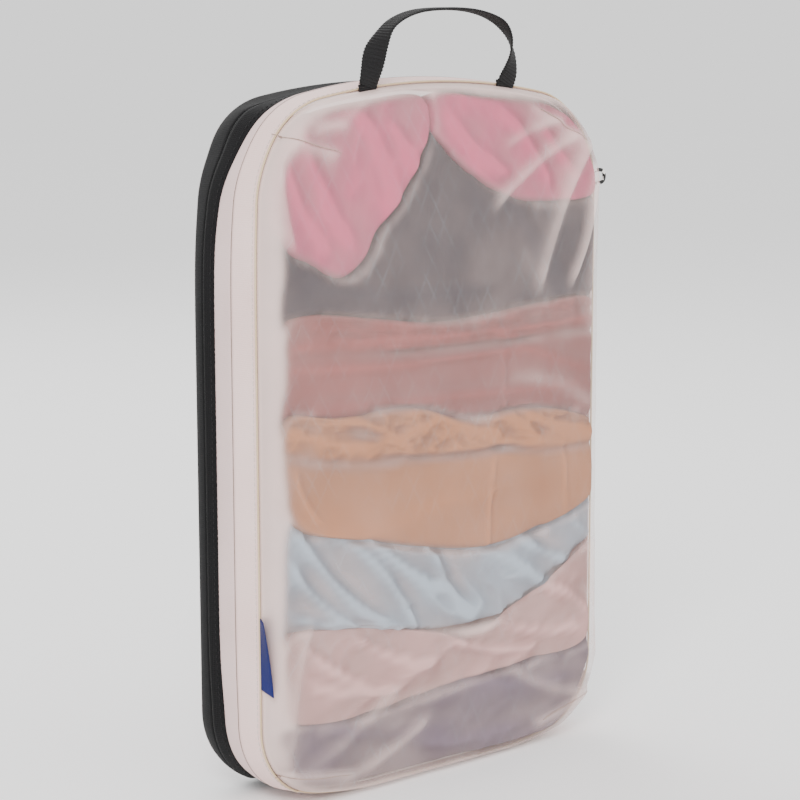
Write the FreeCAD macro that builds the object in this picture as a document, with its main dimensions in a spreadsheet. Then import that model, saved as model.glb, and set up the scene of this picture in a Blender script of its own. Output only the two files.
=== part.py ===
import FreeCAD, Part
import math
import os
import Sketcher
from FreeCAD import Placement, Rotation, Vector

# A soft compression packing cube that stands on its short side, handle up.
# Frame: +X is the hinge side, -Y the see-through front, +Z up. The origin is the
# centre of the flat stretch of the bottom, halfway between front seam and back seam.
# Every zip, seam and panel follows one outline, drawn larger or smaller in planes
# along Y, so the outline's sizes drive the whole cube.

DRIVING_SIZES = [
    ("body_width", 240.0, "seam to seam across the front"),
    ("body_height", 371.0, "floor to the top of the crown"),
    ("top_radius", 53.0, "top corner radius"),
    ("bottom_radius", 41.0, "bottom corner radius"),
    ("crown_radius", 430.0, "radius of the arched top side"),
    ("flank_radius", 200.0, "radius of the bottom beside the flat stretch"),
    ("rest_half", 45.0, "half length of the flat stretch of the bottom"),
    ("main_front", 17.4, "main zip, front tape, seam to slit"),
    ("main_back", 17.2, "main zip, back tape, slit to middle seam"),
    ("press_front", 6.1, "compression zip, front tape"),
    ("press_back", 10.0, "compression zip, back tape"),
    ("tape_thick", 1.2, "zip tape with its backing"),
    ("slit_gap", 0.6, "gap between the two tapes of a zip"),
    ("panel_thick", 0.8, "coated nylon panel"),
    ("lid_rise", 9.4, "depth of the side strip of the front panel"),
    ("lid_inset", 6.4, "how far the side strip leans in"),
    ("lid_bulge", 11.5, "crown of the stuffed front panel"),
    ("back_bulge", 6.0, "crown of the stuffed back panel"),
    ("piping_size", 1.6, "folded piping in the front seam"),
    ("coil_wide", 1.6, "half coil across the slit"),
    ("coil_deep", 1.6, "half coil behind the tape"),
    ("binding_wide", 3.0, "seam binding inside"),
    ("binding_thick", 1.4, "seam binding inside"),
    ("gusset_thick", 1.4, "expansion gusset, folded flat"),
    ("zip_overrun_top", 11.5, "main zip ends this far above the straight side"),
    ("zip_overrun_bottom", 12.0, "main zip starts this far below the straight side"),
    ("slider_rise", 3.0, "parked main slider above the straight side"),
    ("press_slider_drop", 13.0, "parked compression slider below the straight side"),
    ("slider_length", 11.0, "slider body along the zip"),
    ("slider_width", 7.6, "slider body across the zip"),
    ("slider_thick", 1.5, "slider plate"),
    ("bridge_half", 3.6, "half length of the slider's bridge"),
    ("bridge_rise", 2.6, "height of the slider's bridge"),
    ("pull_reach", 5.8, "pull ring, pivot bar to outer bar"),
    ("pull_width", 5.6, "pull ring across"),
    ("pull_bar", 1.0, "pull ring wire"),
    ("knot_size", 4.6, "knot of the cord loop"),
    ("cord_size", 2.1, "cord of the zip pulls"),
    ("run_gap", 0.3, "clearance of a slider over the tape"),
    ("part_gap", 0.4, "clearance between pieces of different bodies"),
    ("strap_width", 12.5, "handle webbing across"),
    ("strap_thick", 1.3, "handle webbing"),
    ("strap_half_span", 48.0, "handle feet from the middle"),
    ("strap_rise", 39.8, "handle arch above its feet"),
    ("strap_lean", 7.0, "handle arch leaning to the right at its top"),
    ("tag_height", 37.0, "folded woven tag along the seam"),
    ("tag_width", 8.0, "folded woven tag, out of the seam"),
    ("tag_foot", 67.0, "bottom of the tag above the floor"),
    ("tag_thick", 0.9, "folded woven tag, both plies"),
    ("tag_tuck", 0.5, "tag beyond the seam line"),
    ("stop_inset", 8.0, "inner face of a stop, inside the outline"),
    ("stop_width", 2.2, "crimped stop across"),
    ("stop_height", 3.0, "crimped stop along the zip"),
    ("stop_gap", 2.0, "stop beyond the last tooth"),
    ("fill_inset", 8.0, "clothes inside the outline"),
    ("fill_gap", 2.4, "clothes behind the front panel"),
    ("fold_gap", 0.4, "between two garments"),
    ("mauve_share", 0.081, "garment, as a share of the body height"),
    ("pale_share", 0.092, "garment, as a share of the body height"),
    ("blue_share", 0.140, "garment, as a share of the body height"),
    ("peach_share", 0.167, "garment, as a share of the body height"),
    ("rose_share", 0.167, "garment, as a share of the body height"),
    ("grey_share", 0.162, "garment, as a share of the body height"),
]


class Size:
    """A number that remembers the sheet expression it comes from."""

    def __init__(self, text, value):
        self.text = text
        self.value = value

    def _join(self, other, sign, value):
        return Size("(%s %s %s)" % (self.text, sign, wrap(other).text), value)

    def __add__(self, other):
        return self._join(other, "+", self.value + wrap(other).value)

    def __sub__(self, other):
        return self._join(other, "-", self.value - wrap(other).value)

    def __mul__(self, other):
        return self._join(other, "*", self.value * wrap(other).value)

    def __truediv__(self, other):
        return self._join(other, "/", self.value / wrap(other).value)

    def __neg__(self):
        return wrap(0.0) - self

    def __float__(self):
        return self.value

    def root(self):
        return Size("sqrt(%s)" % self.text, math.sqrt(self.value))


def wrap(number):
    return number if isinstance(number, Size) else Size("%r" % float(number), float(number))


def make_sheet(doc):
    sheet = doc.addObject("Spreadsheet::Sheet", "Sizes")
    for row, (alias, value, note) in enumerate(DRIVING_SIZES, start=1):
        sheet.set("A%d" % row, note)
        sheet.set("B%d" % row, "%r" % value)
        sheet.setAlias("B%d" % row, alias)
    doc.recompute()
    return {alias: Size("Sizes.%s" % alias, float(sheet.get(alias))) for alias, _, _ in DRIVING_SIZES}


doc = FreeCAD.newDocument("packing_cube")
S = make_sheet(doc)
PARTS = []


def bind(obj, prop, size):
    obj.setExpression(prop, wrap(size).text)


def keep(obj, label):
    """Names a finished sub-part; its label is its file's name."""
    obj.Label = label
    PARTS.append(obj)
    return obj


# Stations along Y, from the front seam to the back seam.
DEPTH = S["main_front"] + S["main_back"] + S["press_front"] + S["press_back"]
FRONT_SEAM = -(DEPTH / 2)
MAIN_SLIT = FRONT_SEAM + S["main_front"]
MIDDLE_SEAM = MAIN_SLIT + S["main_back"]
PRESS_SLIT = MIDDLE_SEAM + S["press_front"]
BACK_SEAM = DEPTH / 2
HALF_GAP = S["slit_gap"] / 2
HALF_WIDTH = S["body_width"] / 2


class Outline:
    """The cube's outline, scaled about its middle and grown by an offset."""

    def __init__(self, grow=0.0, scale=1.0):
        grow = wrap(grow)
        middle = S["body_height"] / 2
        self.half = HALF_WIDTH * scale + grow
        self.top = middle + middle * scale + grow
        self.low = middle - middle * scale - grow
        self.rt = S["top_radius"] * scale + grow
        self.rb = S["bottom_radius"] * scale + grow
        self.rc = S["crown_radius"] * scale + grow
        self.rf = S["flank_radius"] * scale + grow
        self.flat = S["rest_half"] * scale
        self.top_x = self.half - self.rt
        self.bottom_x = self.half - self.rb
        reach = (self.rc - self.rt) * (self.rc - self.rt) - self.top_x * self.top_x
        self.top_z = self.top - self.rc + reach.root()
        side = self.bottom_x - self.flat
        reach = (self.rf - self.rb) * (self.rf - self.rb) - side * side
        self.bottom_z = self.low + self.rf - reach.root()

    def edges(self):
        """Ten edges, counter-clockwise from the flat bottom."""
        crown_z = float(self.top - self.rc)
        flank_z = float(self.low + self.rf)
        tx, tz = float(self.top_x), float(self.top_z)
        bx, bz = float(self.bottom_x), float(self.bottom_z)
        flat, half = float(self.flat), float(self.half)
        low = float(self.low)
        turn_top = math.atan2(tz - crown_z, tx)
        turn_low = math.atan2(bz - flank_z, bx - flat)
        full = 2 * math.pi
        return [
            line((-flat, low), (flat, low)),
            arc((flat, flank_z), self.rf, 1.5 * math.pi, full + turn_low),
            arc((bx, bz), self.rb, full + turn_low, full),
            line((half, bz), (half, tz)),
            arc((tx, tz), self.rt, 0.0, turn_top),
            arc((0.0, crown_z), self.rc, turn_top, math.pi - turn_top),
            arc((-tx, tz), self.rt, math.pi - turn_top, math.pi),
            line((-half, tz), (-half, bz)),
            arc((-bx, bz), self.rb, math.pi, math.pi - turn_low),
            arc((-flat, flank_z), self.rf, math.pi - turn_low, 1.5 * math.pi),
        ]

    def draw(self, sketch):
        """Adds the outline to a sketch and ties it to the sheet."""
        first = sketch.GeometryCount
        sketch.addGeometry(self.edges(), False)
        ids = [first + number for number in range(10)]
        for here, there in zip(ids, ids[1:] + ids[:1]):
            sketch.addConstraint(Sketcher.Constraint("Tangent", here, 2, there, 1))
        for side in (3, 7):
            sketch.addConstraint(Sketcher.Constraint("Vertical", ids[side]))
        sketch.addConstraint(Sketcher.Constraint("Horizontal", ids[0]))
        radii = {1: self.rf, 9: self.rf, 2: self.rb, 8: self.rb, 4: self.rt, 6: self.rt, 5: self.rc}
        for number, radius in radii.items():
            dimension(sketch, radius, "Radius", ids[number])
        dimension(sketch, self.half, "DistanceX", -1, 1, ids[3], 1)
        dimension(sketch, self.half, "DistanceX", ids[7], 1, -1, 1)
        dimension(sketch, self.flat, "DistanceX", -1, 1, ids[0], 2)
        dimension(sketch, self.flat, "DistanceX", ids[0], 1, -1, 1)
        dimension(sketch, self.low, "DistanceY", -1, 1, ids[0], 2)
        sketch.addConstraint(Sketcher.Constraint("PointOnObject", ids[5], 3, -2))
        dimension(sketch, self.top - self.rc, "DistanceY", -1, 1, ids[5], 3)


def line(start, end):
    return Part.LineSegment(Vector(start[0], start[1], 0), Vector(end[0], end[1], 0))


def arc(centre, radius, start, end):
    circle = Part.Circle(Vector(centre[0], centre[1], 0), Vector(0, 0, 1), float(radius))
    return Part.ArcOfCircle(circle, start, end)


def dimension(sketch, size, kind, *where):
    """A measured constraint whose value follows the sheet."""
    number = sketch.addConstraint(Sketcher.Constraint(kind, *where, float(size)))
    sketch.setExpression("Constraints[%d]" % number, size.text)


def new_body(name):
    return doc.addObject("PartDesign::Body", name)


def new_sketch(body, name, role="XZ_Plane", offset=0.0):
    """A sketch on one of the body's own origin planes, shifted along its normal."""
    plane = [p for p in body.Origin.OriginFeatures if p.Role == role][0]
    sketch = body.newObject("Sketcher::SketchObject", name)
    sketch.AttachmentSupport = (plane, "")
    sketch.MapMode = "FlatFace"
    bind(sketch, "AttachmentOffset.Base.z", wrap(offset))
    return sketch


def outline_sketch(body, name, y, *outlines):
    """Outlines at station y. The XZ plane's normal points to -Y."""
    sketch = new_sketch(body, name, offset=-wrap(y))
    for outline in outlines:
        outline.draw(sketch)
    return sketch


def pad(body, sketch, name, length):
    feature = body.newObject("PartDesign::Pad", name)
    feature.Profile = sketch
    bind(feature, "Length", length)
    return feature


def rectangle(sketch, left, right, low, high):
    """A rectangle tied to the sheet."""
    x0, x1, z0, z1 = float(left), float(right), float(low), float(high)
    first = sketch.GeometryCount
    corners = [(x0, z0), (x1, z0), (x1, z1), (x0, z1)]
    for here, there in zip(corners, corners[1:] + corners[:1]):
        sketch.addGeometry(line(here, there), False)
    for number in range(4):
        following = first + (number + 1) % 4
        sketch.addConstraint(Sketcher.Constraint("Coincident", first + number, 2, following, 1))
    for number in (0, 2):
        sketch.addConstraint(Sketcher.Constraint("Horizontal", first + number))
    for number in (1, 3):
        sketch.addConstraint(Sketcher.Constraint("Vertical", first + number))
    dimension(sketch, left, "DistanceX", -1, 1, first, 1)
    dimension(sketch, right, "DistanceX", -1, 1, first + 1, 1)
    dimension(sketch, low, "DistanceY", -1, 1, first, 1)
    dimension(sketch, high, "DistanceY", -1, 1, first + 2, 1)


def ring(label, outer, inner, y_back, y_front):
    """A band that follows the outline, from one offset in to another."""
    body = new_body(label)
    sketch = outline_sketch(body, label + "_loops", y_back, Outline(outer), Outline(inner))
    pad(body, sketch, label + "_pad", wrap(y_back) - y_front)
    return body


def cut_hinge_side(body, label, y_back):
    """Opens a band over the straight hinge side, where the main zip has no teeth."""
    sketch = new_sketch(body, label + "_window", offset=-wrap(y_back))
    rectangle(sketch, ZIP_INNER, HALF_WIDTH + 5.0, ZIP_LOW, ZIP_HIGH)
    doc.recompute()
    before = body.Shape.Volume
    feature = body.newObject("PartDesign::Pocket", label + "_pocket")
    feature.Profile = sketch
    feature.SideType = "Symmetric"
    bind(feature, "Length", DEPTH * 2)
    doc.recompute()
    if body.Shape.Volume > 0.95 * before:
        raise RuntimeError(label + ": the hinge side was not cut away")
    return body


BASE = Outline()
TAPE_IN = -S["tape_thick"]
COIL_IN = TAPE_IN - S["coil_deep"]
BIND_IN = TAPE_IN - S["binding_thick"]
ZIP_HIGH = BASE.top_z + S["zip_overrun_top"]
ZIP_LOW = BASE.bottom_z - S["zip_overrun_bottom"]
ZIP_INNER = HALF_WIDTH - 20.0


def zip_half(name, y_back, y_front):
    return keep(ring(name, 0.0, TAPE_IN, y_back, y_front), name)


def make_compression_zip():
    """The full ring of the compression zip: two tapes and two half coils."""
    zip_half("compression_tape_back", BACK_SEAM, PRESS_SLIT + HALF_GAP)
    zip_half("compression_tape_front", PRESS_SLIT - HALF_GAP, MIDDLE_SEAM)
    coil_back = PRESS_SLIT + HALF_GAP
    coil_front = PRESS_SLIT - HALF_GAP
    name = "compression_coil_back"
    keep(ring(name, TAPE_IN, COIL_IN, coil_back + S["coil_wide"], coil_back), name)
    name = "compression_coil_front"
    keep(ring(name, TAPE_IN, COIL_IN, coil_front, coil_front - S["coil_wide"]), name)


def make_main_zip():
    """The main zip runs round the bottom, the left side and the top."""
    zip_half("main_tape_back", MIDDLE_SEAM, MAIN_SLIT + HALF_GAP)
    name = "main_tape_front"
    front_edge = FRONT_SEAM + S["piping_size"] / 2
    body = ring(name, 0.0, TAPE_IN, MAIN_SLIT - HALF_GAP, front_edge)
    keep(cut_hinge_side(body, name, MAIN_SLIT), name)
    name = "main_coil_back"
    body = ring(name, TAPE_IN, COIL_IN, MAIN_SLIT + HALF_GAP + S["coil_wide"], MAIN_SLIT + HALF_GAP)
    keep(cut_hinge_side(body, name, MAIN_SLIT), name)
    name = "main_coil_front"
    body = ring(name, TAPE_IN, COIL_IN, MAIN_SLIT - HALF_GAP, MAIN_SLIT - HALF_GAP - S["coil_wide"])
    keep(cut_hinge_side(body, name, MAIN_SLIT), name)


def make_spine():
    """The sewn strip that carries the lid on the hinge side."""
    source = ring("spine_band", 0.0, TAPE_IN, MAIN_SLIT + HALF_GAP, FRONT_SEAM + HINGE_CLEAR)
    window = doc.addObject("Part::Box", "spine_window")
    bind(window, "Length", HALF_WIDTH)
    bind(window, "Width", DEPTH * 2)
    bind(window, "Height", ZIP_HIGH - ZIP_LOW - S["part_gap"] * 2)
    bind(window, "Placement.Base.x", ZIP_INNER)
    bind(window, "Placement.Base.y", -DEPTH)
    bind(window, "Placement.Base.z", ZIP_LOW + S["part_gap"])
    strip = doc.addObject("Part::Common", "hinge_spine")
    strip.Base = source
    strip.Tool = window
    keep(strip, "hinge_spine")


HINGE_CLEAR = S["piping_size"] * 0.75 + S["part_gap"]


def make_seams():
    """Piping in the front seam, bindings inside the three seams."""
    half_piping = S["piping_size"] / 2
    name = "front_piping"
    keep(ring(name, 0.0, -S["piping_size"], FRONT_SEAM + half_piping, FRONT_SEAM - half_piping), name)
    seams = {
        "front_seam_binding": FRONT_SEAM + 1.0,
        "middle_seam_binding": MIDDLE_SEAM - S["binding_wide"] - 0.2,
        "back_seam_binding": BACK_SEAM - S["binding_wide"] - 0.8,
    }
    for name, y_front in seams.items():
        keep(ring(name, TAPE_IN, BIND_IN, y_front + S["binding_wide"], y_front), name)


def make_gusset():
    """The expansion gusset, folded flat behind the compression zip."""
    outer = COIL_IN - 0.3
    name = "expansion_gusset"
    keep(ring(name, outer, outer - S["gusset_thick"], BACK_SEAM - 1.0, MIDDLE_SEAM + 0.4), name)


def loft(body, name, kind, stations):
    """A ruled loft through outlines at (y, grow, scale) stations."""
    sketches = []
    for number, (y, grow, scale) in enumerate(stations):
        label = "%s_section_%d" % (name, number)
        sketches.append(outline_sketch(body, label, y, Outline(grow, scale)))
    feature = body.newObject(kind, name)
    feature.Profile = sketches[0]
    feature.Sections = sketches[1:]
    feature.Ruled = True
    return feature


def dome(y_rim, y_edge, inset, bulge, shift, thin):
    """Stations of a stuffed panel: leaning side strip, then a shallow crown."""
    return [
        (y_rim, -wrap(1.0) - thin, 1.0),
        (y_edge + shift, -inset - 1.0 - thin, 1.0),
        (y_edge - bulge * 0.55 + shift, -inset * 0.8 - thin, 0.80),
        (y_edge - bulge * 0.90 + shift, -inset * 0.5 - thin, 0.50),
        (y_edge - bulge + shift, -thin, 0.25),
    ]


def make_panels():
    """The see-through front and back panels, thin crowned shells."""
    thick = S["panel_thick"]
    rims = {
        "front_panel": (FRONT_SEAM - S["piping_size"] / 2, FRONT_SEAM - S["lid_rise"],
                        S["lid_inset"], S["lid_bulge"], thick),
        "back_panel": (BACK_SEAM, BACK_SEAM + 1.6, S["lid_inset"] * 0.3, -S["back_bulge"], -thick),
    }
    for name, (rim, edge, inset, bulge, shift) in rims.items():
        body = new_body(name)
        loft(body, name + "_outer", "PartDesign::AdditiveLoft", dome(rim, edge, inset, bulge, 0.0, 0.0))
        doc.recompute()
        before = body.Shape.Volume
        inner = dome(rim, edge, inset, bulge, shift, thick)
        loft(body, name + "_inner", "PartDesign::SubtractiveLoft", inner)
        doc.recompute()
        if body.Shape.Volume > 0.5 * before:
            raise RuntimeError(name + ": the panel was not hollowed")
        keep(body, name)


def make_tag():
    """A folded woven tag caught in the front seam on the left."""
    lean = math.degrees(math.atan2(float(S["lid_inset"]), float(S["lid_rise"])))
    tag = doc.addObject("Part::Box", "woven_tag")
    bind(tag, "Length", S["tag_thick"])
    bind(tag, "Width", S["tag_width"])
    bind(tag, "Height", S["tag_height"])
    tuck = float(S["tag_tuck"])
    seam = float(FRONT_SEAM - S["piping_size"] / 2)
    spot = Vector(-float(HALF_WIDTH) - tuck, seam - tuck * 0.4, float(S["tag_foot"]))
    tag.Placement = Placement(spot, Rotation(Vector(0, 0, 1), 180 + lean))
    keep(tag, "woven_tag")


def make_stops():
    """Crimped stops inside, where the main zip's teeth end."""
    gap = S["stop_gap"]
    heights = {"main_top_stop": ZIP_HIGH - S["stop_height"] - gap, "main_bottom_stop": ZIP_LOW + gap}
    for name, z in heights.items():
        stop = doc.addObject("Part::Box", name)
        bind(stop, "Length", S["stop_width"])
        bind(stop, "Width", S["coil_wide"] * 1.5)
        bind(stop, "Height", S["stop_height"])
        bind(stop, "Placement.Base.x", HALF_WIDTH - S["stop_inset"])
        bind(stop, "Placement.Base.y", MAIN_SLIT + HALF_GAP)
        bind(stop, "Placement.Base.z", z)
        keep(stop, name)


def make_slider(label, place):
    """Zip slider: a plate over the tape with a bridge for the pull.

    Local x points out of the bag, y across the zip and z along it.
    """
    body = new_body(label)
    half = S["slider_length"] / 2
    plate = new_sketch(body, label + "_plate", offset=-S["slider_width"] / 2)
    rectangle(plate, S["run_gap"], S["run_gap"] + S["slider_thick"], -half, half)
    pad(body, plate, label + "_plate_pad", S["slider_width"])
    foot = S["run_gap"] + S["slider_thick"] - BRIDGE_ROOT
    peak = foot + BRIDGE_ROOT + S["bridge_rise"]
    under = peak - S["pull_bar"]
    long = S["bridge_half"]
    short = long - S["pull_bar"]
    bridge = new_sketch(body, label + "_bridge", offset=-S["pull_bar"] * 0.8)
    arch = [(foot, -long), (peak, -long), (peak, long), (foot, long),
            (foot, short), (under, short), (under, -short), (foot, -short)]
    polygon(bridge, arch)
    pad(body, bridge, label + "_bridge_pad", S["pull_bar"] * 1.6)
    body.Placement = place
    return keep(body, label)


# How deep the bridge's feet go into the slider plate.
BRIDGE_ROOT = 0.2


def polygon(sketch, corners):
    """A closed polygon with every corner tied to the sheet."""
    numbers = [(float(x), float(z)) for x, z in corners]
    for here, there in zip(numbers, numbers[1:] + numbers[:1]):
        sketch.addGeometry(line(here, there), False)
    for number, (x, z) in enumerate(corners):
        following = (number + 1) % len(corners)
        sketch.addConstraint(Sketcher.Constraint("Coincident", number, 2, following, 1))
        dimension(sketch, x, "DistanceX", -1, 1, number, 1)
        dimension(sketch, z, "DistanceY", -1, 1, number, 1)


def make_pull(label, place, loop_axis):
    """Pull ring, knot and cord loop, reaching along local x from the pivot."""
    bar = S["pull_bar"]
    half = S["pull_width"] / 2
    body = new_body(label + "_ring")
    sketch = new_sketch(body, label + "_ring_loops", "XY_Plane", -bar / 2)
    rectangle(sketch, -bar / 2, S["pull_reach"] + bar / 2, -half, half)
    rectangle(sketch, bar / 2, S["pull_reach"] - bar / 2, bar - half, half - bar)
    pad(body, sketch, label + "_ring_pad", bar)
    body.Placement = place
    keep(body, label + "_ring")
    knot_start = S["pull_reach"] + bar / 2
    knot_end = knot_start + S["knot_size"] * 0.7
    knot = doc.addObject("Part::Box", label + "_knot")
    bind(knot, "Length", knot_end - knot_start)
    bind(knot, "Width", S["knot_size"])
    bind(knot, "Height", S["knot_size"])
    corner = Vector(float(knot_start), -float(S["knot_size"]) / 2, -float(S["knot_size"]) / 2)
    knot.Placement = place.multiply(Placement(corner, Rotation()))
    keep(knot, label + "_knot")
    cord = doc.addObject("Part::Feature", label + "_cord")
    route = [Vector(float(knot_end) + u, 0, 0) + loop_axis * w for u, w in LOOP_ROUTE]
    cord.Shape = round_tube(label, route, float(S["cord_size"]))
    cord.Placement = place
    keep(cord, label + "_cord")


# The cord loop beyond its knot: reach from the knot and distance off the middle.
LOOP_ROUTE = [(0.0, 1.2), (4.8, 3.7), (13.5, 3.7), (13.5, -3.7), (4.8, -3.7), (0.0, -1.2)]


def round_tube(label, points, diameter):
    """A tube along straight runs joined by tangent arcs."""
    wire, length, radii = rounded_path(points)
    first = (points[1] - points[0]).normalize()
    profile = Part.Wire([Part.makeCircle(diameter / 2, points[0], first)])
    tube = wire.makePipeShell([profile], True, False)
    print(label, "cord radii", [round(r, 2) for r in radii], "length", round(length, 2))
    if abs(tube.Volume - length * math.pi * diameter ** 2 / 4) > 0.01 * tube.Volume:
        raise RuntimeError(label + ": the cord's volume is not section times length")
    return tube


def rounded_path(points):
    """Joins the runs with arcs as large as the shorter run allows."""
    edges = []
    radii = []
    here = points[0]
    length = 0.0
    for before, corner, after in zip(points, points[1:], points[2:]):
        run_in = corner - before
        run_out = after - corner
        turn = run_in.getAngle(run_out)
        trim = 0.45 * min(run_in.Length, run_out.Length)
        radius = trim / math.tan(turn / 2)
        start = corner - run_in.normalize() * trim
        end = corner + run_out.normalize() * trim
        to_centre = (run_out - run_in).normalize()
        middle = corner + to_centre * (radius / math.cos(turn / 2) - radius)
        edges.append(Part.LineSegment(here, start).toShape())
        edges.append(Part.Arc(start, middle, end).toShape())
        length += here.distanceToPoint(start) + radius * turn
        radii.append(radius)
        here = end
    edges.append(Part.LineSegment(here, points[-1]).toShape())
    length += here.distanceToPoint(points[-1])
    return Part.Wire(edges), length, radii


def make_main_slider():
    """Parked on the top right corner, its pull sticking straight out."""
    rise = float(S["slider_rise"])
    radius = float(S["top_radius"])
    turn = math.asin(rise / radius)
    out = Vector(math.cos(turn), 0, math.sin(turn))
    centre = Vector(float(BASE.top_x), float(MAIN_SLIT), float(BASE.top_z))
    on_tape = centre + out * radius
    lean = Rotation(Vector(0, 1, 0), -math.degrees(turn))
    make_slider("main_slider", Placement(on_tape, lean))
    pivot = on_tape + out * float(PULL_PIVOT)
    make_pull("main_pull", Placement(pivot, Rotation()), Vector(0, 0, 1))
    print("main slider arc centre", centre, "pull pivot", pivot)


def make_compression_slider():
    """Parked on the straight hinge side, its pull hanging down."""
    height = float(BASE.top_z - S["press_slider_drop"])
    on_tape = Vector(float(HALF_WIDTH), float(PRESS_SLIT), height)
    make_slider("compression_slider", Placement(on_tape, Rotation()))
    pivot = on_tape + Vector(float(PULL_PIVOT), 0, 0)
    hang = Rotation(Vector(0, 1, 0), 90 - float(HANG_LEAN))
    make_pull("compression_pull", Placement(pivot, hang), Vector(0, 1, 0))
    print("compression pull pivot", pivot)


PULL_PIVOT = S["run_gap"] + S["slider_thick"] + S["pull_bar"] * 0.75
HANG_LEAN = wrap(17.0)


def foot_height():
    """Height of the seam where the handle's feet are sewn in."""
    span = S["strap_half_span"]
    return BASE.top - BASE.rc + (BASE.rc * BASE.rc - span * span).root()


def make_handle_feet():
    """The webbing's two ends, lying on the seam under the piping."""
    source = ring("foot_band", 1.0, -0.4, FRONT_SEAM - S["piping_size"] / 2 - 0.15,
                  FRONT_SEAM - S["piping_size"] / 2 - 0.15 - S["strap_thick"])
    for name, side in (("handle_foot_left", -1.0), ("handle_foot_right", 1.0)):
        window = doc.addObject("Part::Box", name + "_window")
        bind(window, "Length", S["strap_width"])
        bind(window, "Width", DEPTH)
        bind(window, "Height", wrap(40.0))
        bind(window, "Placement.Base.x", S["strap_half_span"] * side - S["strap_width"] / 2)
        bind(window, "Placement.Base.y", FRONT_SEAM - DEPTH / 2)
        bind(window, "Placement.Base.z", S["body_height"] - 20.0)
        foot = doc.addObject("Part::Common", name)
        foot.Base = source
        foot.Tool = window
        keep(foot, name)


STRAP_STEPS = 16


def make_handle_strap():
    """Webbing that leaves the seam flat, twists a quarter turn and arches over."""
    foot_z = float(foot_height() + 2.6)
    span = float(S["strap_half_span"])
    rise = float(S["strap_rise"])
    lean = float(S["strap_lean"])
    y_mid = float(FRONT_SEAM - S["piping_size"] / 2 - S["strap_thick"] / 2) - 0.15
    sections = []
    for step in range(STRAP_STEPS + 1):
        turn = math.pi * step / STRAP_STEPS
        z = rise * math.sin(turn) ** 0.8
        x = lean * z / rise - span * math.copysign(abs(math.cos(turn)) ** 0.9, math.cos(turn))
        lift = min(1.0, z / (0.8 * rise))
        twist = math.pi / 2 * lift * lift * (3 - 2 * lift)
        along = Vector(span * math.sin(turn) + 1e-3, 0, rise * math.cos(turn)).normalize()
        sections.append(strap_section(Vector(x, y_mid, foot_z + z), along, -twist))
    strap = doc.addObject("Part::Feature", "handle_strap")
    strap.Shape = Part.makeLoft(sections, True, True)
    keep(strap, "handle_strap")


def strap_section(centre, along, twist):
    """A rectangle across the webbing, turned about its run."""
    flat = Vector(along.z, 0, -along.x)
    across = Vector(0, 1, 0)
    wide = flat * math.cos(twist) + across * math.sin(twist)
    thin = across * math.cos(twist) - flat * math.sin(twist)
    wide = wide * (float(S["strap_width"]) / 2)
    thin = thin * (float(S["strap_thick"]) / 2)
    corners = [centre - wide - thin, centre + wide - thin, centre + wide + thin, centre - wide + thin]
    return Part.makePolygon(corners + corners[:1])


def make_contents():
    """Folded clothes: one stuffed shape, sliced into garments from the floor up."""
    body = new_body("fill")
    inset = -S["fill_inset"]
    edge = FRONT_SEAM - S["lid_rise"] + S["fill_gap"]
    lean = S["lid_inset"]
    bulge = S["lid_bulge"]
    loft(body, "fill_loft", "PartDesign::AdditiveLoft", [
        (BACK_SEAM - 2.0, inset, 1.0),
        (FRONT_SEAM, inset, 1.0),
        (edge, inset - lean, 1.0),
        (edge - bulge * 0.55, inset - lean * 0.8, 0.80),
        (edge - bulge * 0.90, inset - lean * 0.5, 0.50),
        (edge - bulge, inset, 0.25),
    ])
    fill = body
    swing = S["main_front"] + S["slit_gap"] + 1.2
    corners = {
        "top_swing": (ZIP_HIGH - 2.0, swing, swing * 2 + 3.0, S["top_radius"] - 15.0, 0.0),
        "bottom_swing": (ZIP_LOW + 2.0, swing, swing * 2 + 1.0, ZIP_LOW + 2.0, 180.0),
    }
    for name, (z, small, large, height, flip) in corners.items():
        cone = doc.addObject("Part::Cone", name)
        bind(cone, "Radius1", small)
        bind(cone, "Radius2", large)
        bind(cone, "Height", height)
        cone.Placement = Placement(Vector(0, 0, 0), Rotation(Vector(1, 0, 0), flip))
        bind(cone, "Placement.Base.x", HALF_WIDTH)
        bind(cone, "Placement.Base.y", FRONT_SEAM)
        bind(cone, "Placement.Base.z", z)
        cut = doc.addObject("Part::Cut", name + "_cut")
        cut.Base = fill
        cut.Tool = cone
        fill = cut
    slice_garments(fill)


def slice_garments(fill):
    base = S["fill_inset"] - 2.0
    names = ["mauve", "pale", "blue", "peach", "rose", "grey", "pink"]
    for name in names:
        last = name == names[-1]
        height = S["body_height"] - base if last else S[name + "_share"] * S["body_height"]
        slab = doc.addObject("Part::Box", name + "_slab")
        bind(slab, "Length", S["body_width"] * 2)
        bind(slab, "Width", DEPTH * 4)
        bind(slab, "Height", height - S["fold_gap"])
        bind(slab, "Placement.Base.x", -S["body_width"])
        bind(slab, "Placement.Base.y", -DEPTH * 2)
        bind(slab, "Placement.Base.z", base)
        garment = doc.addObject("Part::Common", "garment_" + name)
        garment.Base = fill
        garment.Tool = slab
        keep(garment, "garment_" + name)
        base = base + height


def check_and_write():
    """Refuses failed features and bad shapes, then writes one file per sub-part."""
    doc.recompute()
    for obj in doc.Objects:
        if "Invalid" in obj.State or "Error" in obj.State:
            raise RuntimeError("%s is %s" % (obj.Label, obj.State))
    for obj in PARTS:
        shape = obj.Shape
        if shape.isNull() or not shape.isValid() or not shape.Solids:
            raise RuntimeError(obj.Label + " has no valid solid")
    os.makedirs("parts", exist_ok=True)
    for obj in PARTS:
        obj.Shape.exportStep("parts/%s.step" % obj.Label)
    print(len(PARTS), "sub-parts written")


make_panels()
make_compression_zip()
make_main_zip()
make_spine()
make_seams()
make_gusset()
make_tag()
make_stops()
make_main_slider()
make_compression_slider()
make_handle_feet()
make_handle_strap()
make_contents()
check_and_write()
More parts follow.
